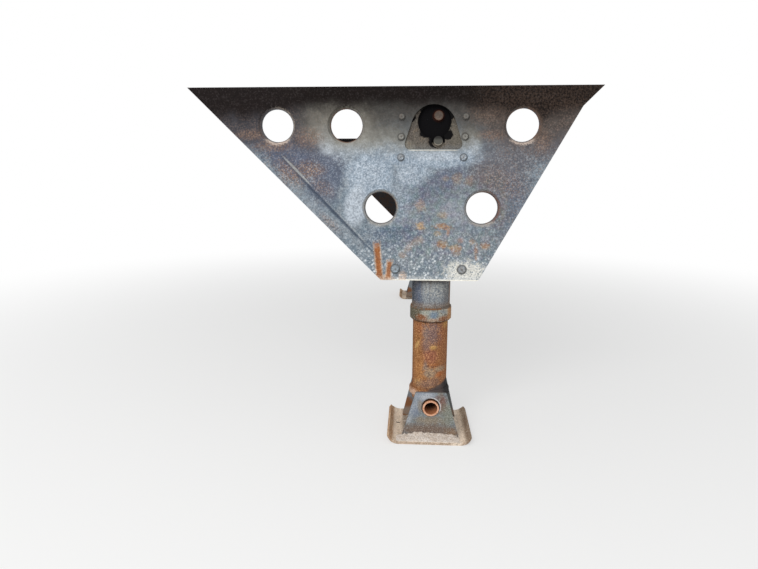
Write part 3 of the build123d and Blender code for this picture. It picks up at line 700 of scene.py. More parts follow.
# %% Outer tube
outer = Finish("blue_grey_tube", (116, 122, 130))
outer_mottle = outer.grain(75.0, detail=5.0, rough=0.72)
outer_fine = outer.grain(260.0, detail=2.0, rough=0.7)
outer_runs = outer.grain(80.0, detail=3.0, stretch=(1, 1, 0.14))
outer_wander = (outer_mottle - 0.5) * 0.030 + (outer_fine - 0.5) * 0.010
outer.lay(outer.over(outer_mottle, 0.45, 0.58), (140, 145, 149))
outer.lay(outer.over(outer.x + outer_wander, 0.038, 0.056) * 0.85, (110, 110, 113))
crackle = outer.stains(((0.020, -0.608, 0.040, 0.032, 0, 1.0),), (outer_mottle - 0.5) * 1.4, soft=0.6)
lace = outer.grain(150.0, detail=4.0, rough=0.75, shift=2.2)
outer.lay(crackle * outer.over(lace, 0.47, 0.57) * 0.85, (180, 180, 174))
outer.lay(outer.under(outer.x + outer_wander, -0.032, -0.010) * 0.85, (84, 92, 110))
# Painted shade: the rear edge darkens to blue-black.
outer.lay(outer.under(outer.x + outer_wander * 0.5, -0.050, -0.036) * 0.85, (50, 54, 62))
outer.lay(outer.over(outer.x + outer_wander * 0.4, 0.062, 0.068) * 0.7, (136, 104, 80))
outer.lay(outer.over(outer_runs, 0.55, 0.66) * 0.35, (112, 98, 86))
# Painted shadow: a brown-grey band along the tube's top, under the plate.
outer.lay(outer.over(outer.z + outer_wander * 0.5, -0.594, -0.578) * 0.70, (92, 82, 74))
outer.lay(outer.under(outer.z + outer_wander, -0.664, -0.642) * 0.65, (128, 108, 88))
outer.pepper(outer_fine, (72, 76, 88), (168, 168, 164), 0.32)
inboard = outer.under(outer.size_of(outer.y), 1.000, 1.040)
outer.lay(inboard * 0.6, (92, 84, 78))
outer_rust = outer.over(outer_mottle + (outer_fine - 0.5) * 0.4, 0.60, 0.70) * (inboard * 0.5 + 0.15)
outer.lay(outer_rust, (132, 96, 72))
outer.wear(outer_fine + outer_mottle, 0.0008, roughness=0.66)
print("outer tube shader nodes:", len(outer.tree.nodes))

# %% [markdown]
# The collar at the tube's mouth is olive to grey-green with a patch of blue, and it rusts along
# its lower rim. It stands proud of the tube, so it catches more knocks, dirt and light. Its marks
# are a table of ovals again, laid by `marks`, with a ragged edge of two noises.

# %% Collar
collar = Finish("collar_steel", (84, 80, 66))
collar_mottle = collar.grain(75.0, detail=5.0, rough=0.7)
collar_fine = collar.grain(260.0, detail=2.0, rough=0.7)
collar_runs = collar.grain(95.0, detail=3.0, stretch=(1, 1, 0.18))
collar_ragged = (collar_mottle - 0.5) * 1.8 + (collar_fine - 0.5) * 1.6
collar.lay(collar.over(collar.x + (collar_mottle - 0.5) * 0.03, -0.034, -0.008) * 0.9, (154, 157, 149))
collar.lay(collar.over(collar.x + (collar_mottle - 0.5) * 0.03, 0.026, 0.044) * 0.7, (182, 174, 158))
collar.lay(collar.over(collar_runs, 0.50, 0.62) * 0.35, (124, 112, 92))
COLLAR_MARKS = (  # colour, then ovals: x, z, half x, half z, turn, strength
    ((104, 126, 150), ((0.018, -0.690, 0.015, 0.014, 0, 0.75), (0.046, -0.682, 0.010, 0.008, 0, 0.45))),
    ((164, 166, 156), ((0.042, -0.692, 0.013, 0.008, 0, 0.70), (-0.010, -0.684, 0.014, 0.008, 0, 0.60))),
    ((132, 78, 44), ((-0.020, -0.700, 0.017, 0.011, 0, 0.90), (0.050, -0.703, 0.026, 0.009, -6, 0.90))),
    ((180, 150, 126), ((0.012, -0.706, 0.014, 0.006, 0, 0.80),)),
    ((76, 60, 50), ((0.040, -0.684, 0.004, 0.003, 0, 0.80), (0.054, -0.690, 0.003, 0.003, 0, 0.70))),
)
collar.marks(COLLAR_MARKS, collar_ragged)
collar.lay(collar.over(collar.x + (collar_mottle - 0.5) * 0.010, 0.058, 0.066) * 0.85, (186, 136, 92))
collar.lay(collar.under(collar.z + (collar_mottle - 0.5) * 0.014, -0.7125, -0.7060) * 0.85, (96, 56, 32))
top_line = collar.over(collar.z + (collar_mottle - 0.5) * 0.012, -0.677, -0.671)
collar.lay(top_line * collar.under(collar.x, 0.000, 0.040) * 0.8, (110, 82, 62))
collar.pepper(collar_fine, (84, 76, 64), (180, 172, 156), 0.35)
collar.wear(collar_mottle + collar_runs * 0.5, 0.0012, roughness=0.75)
print("collar marks:", sum(len(rows) for _, rows in COLLAR_MARKS))

# %% [markdown]
# The sliding tube is bare and rusty: ochre behind, red-brown in front, with a purple-grey stripe
# of old mill scale down the middle and a worn grey-brown patch lower down. Above the foot a dark
# wedge of shade and damp rises towards the front, which a height that falls with X gives. The
# stretch that the collar hides at rest is dark with old grease, and shows when the leg slides
# out; at rest, the top of the same dark band shows just under the collar as painted shade. A
# pepper of dark and pale grains lies over the marks, because rust is grainy everywhere, and
# without it the ovals would look airbrushed.

# %% Sliding tube
inner = Finish("rusty_tube", (150, 102, 66))
inner_mottle = inner.grain(80.0, detail=5.0, rough=0.74)
inner_fine = inner.grain(270.0, detail=3.0, rough=0.7)
inner_runs = inner.grain(90.0, detail=4.0, stretch=(1, 1, 0.22))
inner_ragged = (inner_mottle - 0.5) * 1.8 + (inner_runs - 0.5) * 1.2 + (inner_fine - 0.5) * 1.6
inner.lay(inner.over(inner_runs, 0.50, 0.62) * 0.6, (134, 84, 56))
inner.lay(inner.over(inner_mottle, 0.55, 0.66) * 0.6, (172, 118, 72))
inner.lay(inner.over(inner.x + (inner_mottle - 0.5) * 0.02, 0.030, 0.050) * 0.55, (160, 108, 76))
INNER_MARKS = (  # colour, then ovals: x, z, half x, half z, turn, strength
    ((176, 122, 72), ((-0.024, -0.890, 0.016, 0.052, 0, 0.60),)),
    ((154, 107, 64), ((-0.034, -0.785, 0.014, 0.060, 0, 0.70),)),
    ((142, 84, 56), ((-0.024, -0.738, 0.016, 0.020, 0, 0.70), (0.040, -0.760, 0.014, 0.034, 0, 0.50))),
    ((196, 156, 100), ((-0.034, -0.796, 0.004, 0.016, 20, 0.80), (-0.028, -0.925, 0.012, 0.010, 0, 0.60))),
    ((122, 101, 100), ((0.014, -0.755, 0.024, 0.042, 0, 0.90), (-0.004, -0.790, 0.016, 0.026, 0, 0.75))),
    ((138, 122, 114), ((-0.010, -0.748, 0.009, 0.028, 0, 0.55), (-0.006, -0.868, 0.007, 0.022, 0, 0.80))),
    ((150, 92, 76), ((0.010, -0.832, 0.022, 0.022, 0, 0.70),)),
    ((196, 152, 92), ((0.018, -0.800, 0.010, 0.007, 0, 0.85), (0.056, -0.722, 0.007, 0.014, 0, 0.60))),
    ((154, 136, 116), ((0.012, -0.888, 0.022, 0.018, 0, 0.85), (0.040, -0.876, 0.020, 0.010, 0, 0.85))),
    ((166, 98, 58), ((0.040, -0.893, 0.014, 0.008, -20, 0.90), (0.020, -0.862, 0.016, 0.006, 0, 0.60))),
    ((134, 106, 94), ((0.004, -0.925, 0.036, 0.016, -12, 0.80),)),
)
inner.marks(INNER_MARKS, inner_ragged)
inner.lay(inner.under(inner.x + (inner_mottle - 0.5) * 0.012, -0.047, -0.040) * 0.5, (112, 72, 50))
scratch = inner.under(inner.size_of(inner.z + 0.864 + (inner_mottle - 0.5) * 0.006), 0.0008, 0.0030)
inner.lay(scratch * inner.over(inner.x, -0.008, 0.002) * 0.6, (112, 80, 66))
inner.pepper(inner_fine, (92, 58, 44), (204, 160, 114), 0.46)
wedge_top = inner.z - inner.x * 0.49 + (inner_mottle - 0.5) * 0.010
wedge = inner.under(wedge_top, -0.955, -0.943) * inner.over(inner.x + inner_mottle * 0.03, -0.016, 0.020)
inner.lay(wedge * 0.92, (88, 82, 82))
inner.lay(inner.over(inner.x, 0.040, 0.062) * wedge * 0.8, (44, 45, 46))
ring_left = inner.stains(((-0.044, -0.966, 0.022, 0.014, 0, 1.0),), (inner_mottle - 0.5) * 0.6)
inner.lay(ring_left * (inner.over(inner_fine, 0.36, 0.56) * 0.4 + 0.5), (214, 180, 156))
# Old grease on the stretch that the collar hides, and painted shade where it shows just under the collar at
# rest.
grease_and_collar_shade = inner.over(inner.z + (inner_mottle - 0.5) * 0.010, -0.721, -0.714)
inner.lay(grease_and_collar_shade * 0.85, (44, 32, 28))
inner.wear(inner_fine * 0.7 + inner_mottle, 0.0014, roughness=0.88)
print("tube marks:", sum(len(rows) for _, rows in INNER_MARKS))

# %% [markdown]
# The foot hangs on a hollow pin, pale orange on its rim, with rust and a painted highlight along
# the foot of its bore, which runs into the dark. Light alone would show the bore's far end, because
# the solid is open right through, so painted shade fades the finish to black with depth, later
# along the foot than above it. The part of the pin behind the ear's face is darkened with painted
# shade, as a gap between two steels would look.

# %% Foot pin
PIN_X, PIN_Z, BORE_R = 0.013, -0.998, 0.0212
EAR_FACE = 1.112
pin = Finish("rusty_pin", (214, 154, 116))
pin_mottle = pin.grain(190.0, detail=4.0, rough=0.7)
pin.lay(pin.over(pin_mottle, 0.46, 0.60) * 0.7, (176, 112, 76))
pin.lay(pin.over(pin.facing(1), 0.5, 0.9) * pin.under(pin_mottle, 0.44, 0.60) * 0.8, (228, 184, 156))
in_bore = pin.under(pin.from_middle(PIN_X, PIN_Z, BORE_R), 0.98, 1.01)
lit_bore_foot = pin.under(pin.z, PIN_Z - 0.014, PIN_Z - 0.001)
# Rust with a painted highlight along the bore's foot, dark brown above it.
pin.lay(in_bore * 0.8, pin.blend(lit_bore_foot, (40, 26, 20), (196, 122, 78)))
# Painted shade: the bore fades to black with depth.
pin.lay(in_bore * pin.under(pin.size_of(pin.y) + lit_bore_foot * 0.028, 1.070, 1.116), (14, 12, 12))
# Painted shade: the pin is dark behind the ear's face.
pin.lay(pin.between(0.9, EAR_FACE) * (1 - in_bore) * 0.85, (40, 28, 22))
pin.wear(pin_mottle, 0.0008, roughness=0.8)
print("pin shader nodes:", len(pin.tree.nodes))

# %% [markdown]
# ## The feet
# The ears are pale blue-grey above, grey-green in the middle and brown with splashed dirt below,
# and a red-brown patch sits beside the pin. The pin sits low in its hole: a painted highlight makes
# a bright crescent above it in front, and painted shade a dark one behind, which two masks on
# height and X tell apart. Painted shade also darkens the hole's cut edge. Both ears are one solid,
# and `behind` makes the inboard one plainer and dirtier.

# %% Ears
ear = Finish("foot_steel", (124, 132, 134))
ear_mottle = ear.grain(65.0, detail=5.0, rough=0.7)
ear_fine = ear.grain(260.0, detail=2.0, rough=0.7)
ear_runs = ear.grain(75.0, detail=4.0, stretch=(1, 1, 0.16))
ear_ragged = (ear_mottle - 0.5) * 1.6 + (ear_runs - 0.5) * 0.8 + (ear_fine - 0.5) * 1.4
ear.lay(ear.over(ear_mottle, 0.46, 0.60) * 0.6, (112, 120, 126))
ear.lay(ear.over(ear_runs, 0.52, 0.64) * 0.45, (128, 116, 98))
EAR_MARKS = (  # colour, then ovals: x, z, half x, half z, turn, strength
    ((150, 157, 168), ((-0.010, -0.958, 0.036, 0.022, 0, 1.00), (-0.044, -1.000, 0.016, 0.040, 20, 0.85))),
    ((178, 182, 188), ((-0.004, -0.959, 0.018, 0.008, -20, 0.80), (-0.058, -1.042, 0.008, 0.012, 0, 0.60))),
    ((112, 122, 142), ((-0.034, -1.018, 0.010, 0.018, 0, 0.50),)),
    ((122, 88, 78), ((0.050, -0.984, 0.014, 0.028, 0, 0.95), (0.036, -0.962, 0.008, 0.008, 0, 0.60))),
    ((146, 130, 108), ((0.012, -1.042, 0.046, 0.014, 0, 0.75), (-0.022, -0.990, 0.007, 0.020, 0, 0.55))),
    ((134, 134, 118), ((0.070, -1.020, 0.022, 0.036, 0, 0.70),)),
    ((122, 102, 88), ((0.000, -1.076, 0.100, 0.020, 0, 0.90), (-0.030, -1.058, 0.040, 0.007, 0, 0.50))),
    ((142, 116, 92), ((0.082, -1.088, 0.024, 0.016, 0, 0.85),)),
)
ear.marks(EAR_MARKS, ear_ragged)
EAR_HOLE_R, PIN_DROP = 0.030, 0.003
hole_out = ear.from_middle(PIN_X, PIN_Z + PIN_DROP, EAR_HOLE_R) + (ear_mottle - 0.5) * 0.08
highlit_upper_front = ear.over(ear.z + ear.x * 0.9, -0.978, -0.966) * ear.over(ear.x, 0.006, 0.018)
# Painted highlight: a bright crescent on the hole's rim above the pin, in front.
ear.lay(ear.under(hole_out, 1.08, 1.15) * highlit_upper_front * 0.85, (208, 204, 202))
# Painted shade: a dark brown crescent round the rest of the hole's rim.
ear.lay(ear.under(hole_out, 1.00, 1.14) * (1 - highlit_upper_front) * 0.55, (108, 86, 74))
ear.pepper(ear_fine, (84, 82, 82), (186, 184, 178), 0.32)
cut_edge = ear.under(ear.facing(1), 0.4, 0.8)
ear.lay(cut_edge * 0.7, (92, 82, 76))
# Painted shade on the hole's cut edge, in the gap round the pin.
ear.lay(ear.under(hole_out, 1.02, 1.06) * cut_edge * 0.9, (36, 29, 25))
behind = ear.under(ear.size_of(ear.y), 1.050, 1.052)
ear.lay(behind * 0.65, (122, 126, 128))
RUST_BEHIND = ((-0.066, -1.048, 0.026, 0.020, 10, 1.0),)
ear.lay(behind * ear.stains(RUST_BEHIND, (ear_mottle - 0.5) * 1.2), (134, 92, 64))
ear.lay(behind * ear.under(ear.z + (ear_mottle - 0.5) * 0.03, -1.084, -1.058) * 0.8, (150, 128, 110))
ear.wear(ear_fine * 0.5 + ear_mottle, 0.0010, roughness=0.78)
print("ear marks:", sum(len(rows) for _, rows in EAR_MARKS))

# %% [markdown]
# Road dust fills the shoe's trough, and the curled ends are orange-brown where they rub. Dust is
# palest on top, and painted light offsets the shade of the ears and plate, so the paint starts
# nearly white and most other coats are browner, with more painted light on the trough's front.
# Noise stretched along Y follows the bends of the sheet, as the marks of the press brake do.

# %% Shoe
LEG_X, LEG_Y = 0.009, 1.030
# Painted light: the ground colour is paler than the dust itself, to offset shade.
shoe = Finish("dusty_shoe", (236, 214, 190))
shoe_mottle = shoe.grain(60.0, detail=5.0, rough=0.7)
shoe_fine = shoe.grain(280.0, detail=2.0, rough=0.7)
shoe_length = shoe.grain(60.0, detail=4.0, stretch=(1, 0.2, 1))
shoe.lay(shoe.over(shoe_length, 0.46, 0.60) * 0.6, (206, 182, 156))
shoe.lay(shoe.over(shoe_mottle, 0.54, 0.64) * 0.5, (238, 222, 200))
from_axis = shoe.x - LEG_X
rear_lip = shoe.under(from_axis + (shoe_mottle - 0.5) * 0.010, -0.124, -0.114)
front_lip = shoe.over(from_axis + (shoe_mottle - 0.5) * 0.010, 0.112, 0.124)
shoe.lay(rear_lip * 0.85, shoe.blend(shoe.over(shoe_length, 0.44, 0.58), (164, 118, 76), (196, 158, 120)))
shoe.lay(front_lip * 0.85, shoe.blend(shoe.over(shoe_length, 0.44, 0.58), (122, 96, 74), (146, 124, 102)))
shoe.lay(shoe.under(shoe.facing(2), 0.30, 0.60) * 0.5, (134, 104, 82))
inboard_of_ear = shoe.under(shoe.size_of(shoe.y), 1.085, 1.110)
under_ears = inboard_of_ear * shoe.under(shoe.size_of(from_axis), 0.080, 0.096)
shoe.lay(under_ears * 0.7, (84, 74, 66))
# Painted light: the trough in front of the ears is made paler to offset their shade.
painted_light_front = shoe.over(from_axis, 0.066, 0.080) * shoe.under(from_axis, 0.098, 0.110)
shoe.lay(painted_light_front * 0.6, (254, 238, 218))
shoe.pepper(shoe_fine, (140, 122, 104), (236, 226, 212), 0.34)
dash = shoe.stains(((-0.095, -1.096, 0.0075, 1.0, 0, 1.0),), 0.0, soft=0.2) * shoe.between(1.017, 1.022)
shoe.lay(dash, (24, 18, 14))
shoe.wear(shoe_fine * 0.6 + shoe_mottle, 0.0012, roughness=0.92)
print("shoe shader nodes:", len(shoe.tree.nodes))

# %% [markdown]
# ## Out of the photograph's sight
# The braces, the shaft and the crank don't show, so they get what such parts always get: dark
# paint that flakes to rust, and a hand grip rubbed smooth. One recipe serves them all, with its
# own paint, rust and share of flaking.


# %% Flaking paint, from one recipe
def flaking(name, low, high, rust_low, rust_high, share, roughness):
    """Paint that has flaked to rust over about `share` of the surface."""
    made = Finish(name)
    coarse = made.grain(38.0, detail=5.0, rough=0.7)
    fine = made.grain(220.0, detail=3.0, rough=0.7)
    threshold = 0.66 - share * 0.32
    bare = made.over(coarse + (fine - 0.5) * 0.25, threshold, threshold + 0.05)
    made.lay(1.0, made.blend(coarse, low, high))
    made.lay(bare, made.blend(fine, rust_low, rust_high))
    made.wear(fine * 0.5 - bare * 0.5, 0.0010, roughness=roughness + bare * 0.2)
    return made


FLAKING = (
    ("brace_steel", (70, 74, 80), (104, 108, 112), (92, 60, 44), (146, 98, 66), 0.35, 0.62),
    ("shaft_steel", (84, 72, 64), (104, 90, 78), (96, 60, 42), (150, 100, 68), 0.60, 0.70),
    ("handle_steel", (44, 44, 46), (70, 68, 66), (92, 60, 46), (132, 90, 64), 0.30, 0.55),
    ("handle_grip", (34, 34, 35), (52, 51, 50), (74, 60, 54), (96, 82, 74), 0.12, 0.45),
    ("bolt_steel", (104, 102, 100), (146, 146, 142), (104, 78, 62), (150, 112, 84), 0.32, 0.70),
    ("weld_steel", (96, 90, 84), (128, 120, 110), (104, 74, 54), (146, 110, 82), 0.62, 0.78),
)
others = [flaking(*row) for row in FLAKING]
print("shared recipe finishes:", len(others))

# %% [markdown]
# The heaps of dirt on the feet are dried road dirt, nearly white with coarse dark grains. They
# get a finish of their own, with the deepest relief of all, because loose dirt has no gloss and
# is read by its small shadows alone.

# %% Caked dirt
dirt = Finish("caked_dirt", (222, 206, 190))
dirt_mottle = dirt.grain(60.0, detail=5.0, rough=0.75)
dirt_grit = dirt.grain(330.0, detail=2.0, rough=0.7)
dirt.lay(dirt.over(dirt_mottle, 0.44, 0.60), (238, 226, 214))
dirt.lay(dirt.over(dirt_grit, 0.56, 0.64) * 0.7, (250, 244, 238))
dirt.lay(dirt.under(dirt_grit, 0.36, 0.44) * 0.7, (150, 132, 118))
dirt.wear(dirt_grit + dirt_mottle, 0.0025, roughness=0.95)
print("dirt shader nodes:", len(dirt.tree.nodes))

# %% [markdown]
# ## Dressing the solids
# The record names a material slot for every node of the CAD model, and each slot has its finish.
# The finish could be chosen by the node's name too, but the slot is what the packed part itself
# promises. Only the list of materials changes, and the CAD's shapes stay as they were packed.

# %% Give each node its finish
FINISHES = [plate, flange, case, bright, outer, collar, inner, pin, ear, shoe, dirt, *others]
BY_SLOT = {finish.name: finish.material for finish in FINISHES}
for part in frame["record"]["subparts"]:
    mesh = NODES[part["node"]].data
    mesh.materials.clear()
    mesh.materials.append(BY_SLOT[part["material_slot"]])

# %% [markdown]
# ## Small solids
# Bolts, nuts, washers, weld beads and grit are all skins over a row of rings. A turned shape is
# rings about a straight line, and six sides instead of twenty make a hexagon of it. A bead is
# rings carried along a path, swelling and shrinking as a weld pool does. Blender's own cylinders
# and bevels would do for one bolt. Rings are as easy for hundreds, and many can share one mesh,
# because they have the same finish and move together.

# %% Rings, turned shapes and beads
DICE = random.Random(11)
CREASE = math.radians(35)


class Solids:
    """Gathers small solids into one mesh."""

    def __init__(self):
        self.points = []
        self.faces = []

    def skin(self, rings, loop=False):
        """Joins rings that all have the same number of points, and caps the ends unless it loops."""
        first, count = len(self.points), len(rings[0])
        for ring in rings:
            self.points.extend(ring)
        for i in range(len(rings) if loop else len(rings) - 1):
            low, high = first + i * count, first + (i + 1) % len(rings) * count
            for k in range(count):
                n = (k + 1) % count
                self.faces.append((low + k, low + n, high + n, high + k))
        if not loop:
            last = first + (len(rings) - 1) * count
            self.faces.append(tuple(range(first + count - 1, first - 1, -1)))
            self.faces.append(tuple(range(last, last + count)))

    def turned(self, profile, at, way, sides=20, start=0.0):
        """Rings of (radius, distance along `way`) about a line through `at`."""
        turn = Vector(way).to_track_quat("Z", "Y")
        rings = []
        for radius, along in profile:
            ring = []
            for k in range(sides):
                angle = start + math.tau * k / sides
                local = Vector((radius * math.cos(angle), radius * math.sin(angle), along))
                ring.append(Vector(at) + turn @ local)
            rings.append(ring)
        self.skin(rings)

    def bead(self, path, radius, loop=True, sides=8):
        """A weld bead along a path of points, with the ripples of its pool."""
        rings = []
        count = len(path)
        for i, point in enumerate(path):
            behind = path[i - 1] if loop or i else path[0]
            ahead = path[(i + 1) % count] if loop or i < count - 1 else path[-1]
            turn = (ahead - behind).to_track_quat("Z", "Y")
            swell = radius * (1 + 0.16 * math.sin(i * 2.1) + DICE.uniform(-0.10, 0.10))
            ring = []
            for k in range(sides):
                angle = math.tau * k / sides
                ring.append(point + turn @ Vector((swell * math.cos(angle), swell * math.sin(angle), 0)))
            rings.append(ring)
        self.skin(rings, loop)

    def piece(self, name, material, body):
        """Makes the object, smooth but for its creases, riding on a CAD body."""
        mesh = bpy.data.meshes.new(name)
        mesh.from_pydata([tuple(point) for point in self.points], [], self.faces)
        mesh.materials.append(material)
        mesh.shade_smooth()
        mesh.set_sharp_from_angle(angle=CREASE)
        made = bpy.data.objects.new(name, mesh)
        bpy.context.scene.collection.objects.link(made)
        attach(made, body)
        return made


print("creases sharper than", round(math.degrees(CREASE)), "degrees stay sharp")

# %% [markdown]
# A bead follows a path of points. Every joint here is a level circle or a straight line, so two
# small functions give all the paths, with points about 4 mm apart, as the ripples of a weld are.
# Blender's curves could carry a round profile too, but would have to be turned into a mesh.


# %% Paths for the beads
def circle(x, y, z, radius, step=0.004):
    """Points round a level circle, about `step` apart."""
    count = round(math.tau * radius / step)
    return [
        Vector((x + radius * math.cos(math.tau * k / count), y + radius * math.sin(math.tau * k / count), z))
        for k in range(count)
    ]


def straight(start, end, step=0.004):
    """Points along a straight line, about `step` apart."""
    start, end = Vector(start), Vector(end)
    count = max(2, round((end - start).length / step))
    return [start.lerp(end, k / count) for k in range(count + 1)]


print("points round a ring of 60 mm:", len(circle(0, 0, 0, 0.060)))

# %% [markdown]
# ## Bolts
# Every bolt has a washer and a hexagon head on the side that shows, and its own washer, nut and
# thread end behind. Each head is turned its own way, as a wrench leaves it. A library of bolts
# could be loaded, but all the sizes follow from the washer's radius, in the proportions of common
# hexagon bolts, so one function makes every bolt here.

# %% One bolt with its nut
ACROSS_PER_WASHER = 1.36


def bolt(made, at, way, washer, grip):
    """A hexagon bolt with its head at `at`, its nut `grip` behind it and washers of this radius."""
    at, way = Vector(at), Vector(way)
    across = washer * ACROSS_PER_WASHER
    corner = across / math.sqrt(3)
    thread_r = across * 0.29
    washer_t, head_h, nut_h = 0.0026, across * 0.36, across * 0.5
    for place, out, height in ((at, way, head_h), (at - way * grip, -way, nut_h)):
        made.turned([(washer, -0.001), (washer, washer_t - 0.0006), (washer - 0.0008, washer_t)], place, out)
        sides_end, top = washer_t + height * 0.82, washer_t + height
        hexagon = [(corner, washer_t - 0.0005), (corner, sides_end), (corner * 0.86, top)]
        made.turned(hexagon, place, out, sides=6, start=DICE.uniform(0, math.tau / 6))
    thread_end = washer_t + nut_h + 0.005
    thread = [(thread_r, 0), (thread_r, thread_end), (across * 0.24, thread_end + 0.002)]
    made.turned(thread, at - way * grip, -way)


print("heads at the window:", round(WINDOW_WASHER * ACROSS_PER_WASHER * 1000, 1), "mm across the flats")

# %% [markdown]
# Each wing plate has six bolts round its window and two larger ones at its foot. They could be
# copies of one bolt, but heads that all sit the same way look stamped on. So a loop makes each
# one afresh, in one mesh and in the plate's own finish.

# %% The wing plates' bolts
PLATE_FACE, PLATE_GRIP = 1.115, 0.0144
SIDES = (("curb", -1), ("road", 1))
plate_bolts = Solids()
for _, side in SIDES:
    for places, washer in ((WINDOW_BOLTS, WINDOW_WASHER), (FOOT_BOLTS, FOOT_WASHER)):
        for x, z in places:
            bolt(plate_bolts, (x, side * PLATE_FACE, z), (0, side, 0), washer, PLATE_GRIP)
plate_bolts.piece("plate_bolts", plate.material, "frame")
print("plate bolts:", 2 * (len(WINDOW_BOLTS) + len(FOOT_BOLTS)))

# %% [markdown]
# The braces are bolted to lugs on the legs, and to each other where they cross. The crank's case
# and both gear heads close with plain hexagon screws, which need no nut, and two long bolts hold
# the hollow shaft on each of its solid stubs, so those ride on the shaft and turn with it.

# %% Bolts of the braces, the cases and the shaft
bolts = Solids()
LUG_Y, HIGH_LUG, LOW_LUG, LUG_FACE = 0.918, -0.285, -0.532, 0.009
for lug_y, lug_z, face in (
    (-LUG_Y, LOW_LUG, 1),
    (LUG_Y, HIGH_LUG, 1),
    (LUG_Y, LOW_LUG, -1),
    (-LUG_Y, HIGH_LUG, -1),
):
    bolt(bolts, (LEG_X + face * LUG_FACE, lug_y, lug_z), (face, 0, 0), 0.0125, 0.013)
bolt(bolts, (LEG_X + LUG_FACE, 0, (HIGH_LUG + LOW_LUG) / 2), (1, 0, 0), 0.0125, 0.018)
CASE_FACE, HEAD_BACK, HEAD_SCREW_CIRCLE = 1.165, 0.957, 0.043
CASE_SCREWS = ((-0.056, -0.158), (0.061, -0.158), (-0.040, -0.104), (0.045, -0.104), (0.0025, -0.075))
CASE_SCREW = [(0.0078, 0), (0.0078, 0.005), (0.0068, 0.0065)]
HEAD_SCREW = [(0.0085, 0), (0.0085, 0.006), (0.0074, 0.0075)]
for x, z in CASE_SCREWS:
    bolts.turned(CASE_SCREW, (x, CASE_FACE, z), (0, 1, 0), sides=6)
for _, side in SIDES:
    for k in range(4):
        angle = math.tau * (k + 0.5) / 4
        out_x, out_z = HEAD_SCREW_CIRCLE * math.cos(angle), HEAD_SCREW_CIRCLE * math.sin(angle)
        at = (SHAFT_X + out_x, side * HEAD_BACK, SHAFT_Z + out_z)
        bolts.turned(HEAD_SCREW, at, (0, -side, 0), sides=6)
bolts.piece("frame_bolts", BY_SLOT["bolt_steel"], "frame")

shaft_bolts = Solids()
SHAFT_OUTSIDE = 0.0185
SHAFT_BOLT_PLACES = (0.878, 0.904)
for _, side in SIDES:
    for y in SHAFT_BOLT_PLACES:
        at = (SHAFT_X, side * y, SHAFT_Z + SHAFT_OUTSIDE)
        bolt(shaft_bolts, at, (0, 0, 1), 0.0088, 2 * SHAFT_OUTSIDE)
shaft_bolts.piece("shaft_bolts", BY_SLOT["bolt_steel"], "shaft")
print("brace bolts: 5, screws:", len(CASE_SCREWS) + 8, "shaft bolts:", 2 * len(SHAFT_BOLT_PLACES))

# %% [markdown]
# The CAD plate's window bows down by 6 mm in the middle of its foot, where the photograph has a
# straight edge. Nothing here may move the CAD's own points, so a flat sliver, as thick as the
# plate and in its finish, fills the bow. It is two rings of five points, joined by `skin`.

# %% Straight foot for the kerb side's window
BOWED_FOOT = ((-0.0688, -0.1779), (-0.0034, -0.1837), (0.0025, -0.1840), (0.0085, -0.1837), (0.0738, -0.1779))
PLATE_T = 0.0064
foot = Solids()
foot.skin([[Vector((x, y, z)) for x, z in BOWED_FOOT] for y in (-PLATE_FACE, PLATE_T - PLATE_FACE)])
foot.piece("window_foot_curb", plate.material, "frame")
print("window foot made straight")

# %% [markdown]
# ## Weld beads
# Beads run where one solid stands on another: the tube in the gear head's neck, the collar on
# the tube, the bracket's cheeks and the brace lugs along the tube's sides, the ring at the
# sliding tube's end and the ears on the shoe. A plain round tube along each joint would look
# like a hose, so `bead` swells and shrinks it every few millimetres. Each bead rides on the
# body that it holds together, which is why the three kinds are separate pieces on each side.

# %% Welds on the frame, the legs and the feet
NECK_Z, COLLAR_TOP, CHEEK_TOP, CHEEK_END, LUG_HALF = -0.246, -0.6710, -0.513, -0.561, 0.034
RING_Z, RING_WELD_R = -0.9505, 0.0590
EAR_FOOT_Z, EAR_HALF = -1.0972, 0.092
EAR_SIDES = (-0.0835, -0.0725, 0.0725, 0.0835)
for name, side in SIDES:
    axis_y = side * LEG_Y
    welds = Solids()
    welds.bead(circle(LEG_X, axis_y, NECK_Z, 0.0635), 0.0048)
    welds.bead(circle(LEG_X, axis_y, COLLAR_TOP, 0.0632), 0.0034)
    for way in (-1, 1):
        cheek = (LEG_X + way * 0.0560, side * (LEG_Y + 0.0270))
        welds.bead(straight((*cheek, CHEEK_TOP), (*cheek, CHEEK_END)), 0.0045, loop=False)
        lug = (LEG_X + way * 0.0055, side * (LEG_Y - 0.0622))
        for z in (HIGH_LUG, LOW_LUG):
            welds.bead(straight((*lug, z + LUG_HALF), (*lug, z - LUG_HALF)), 0.0040, loop=False)
    welds.piece(f"frame_welds_{name}", BY_SLOT["weld_steel"], "frame")

    ring_weld = Solids()
    ring_weld.bead(circle(LEG_X, axis_y, RING_Z, RING_WELD_R), 0.0032)
    ring_weld.piece(f"ring_weld_{name}", BY_SLOT["rusty_tube"], f"leg_{name}")

    ear_welds = Solids()
    for out in EAR_SIDES:
        y = side * (LEG_Y + out)
        path = straight((PIN_X - EAR_HALF, y, EAR_FOOT_Z), (PIN_X + EAR_HALF, y, EAR_FOOT_Z))
        ear_welds.bead(path, 0.0036, loop=False)
    ear_welds.piece(f"ear_welds_{name}", BY_SLOT["weld_steel"], f"foot_{name}")
print("weld pieces: 6")

# %% [markdown]
# ## Caked dirt
# A low heap of road dirt has packed against the outboard ear and hides its foot and the edge of
# the shoe. A displaced plane would do it as well, but its points would follow no measure. This
# grid's height against the ear is read off a short profile, falls towards the shoe's rim and is
# roughened by two sizes of noise, and its border is sunk into the shoe so that no gap shows.

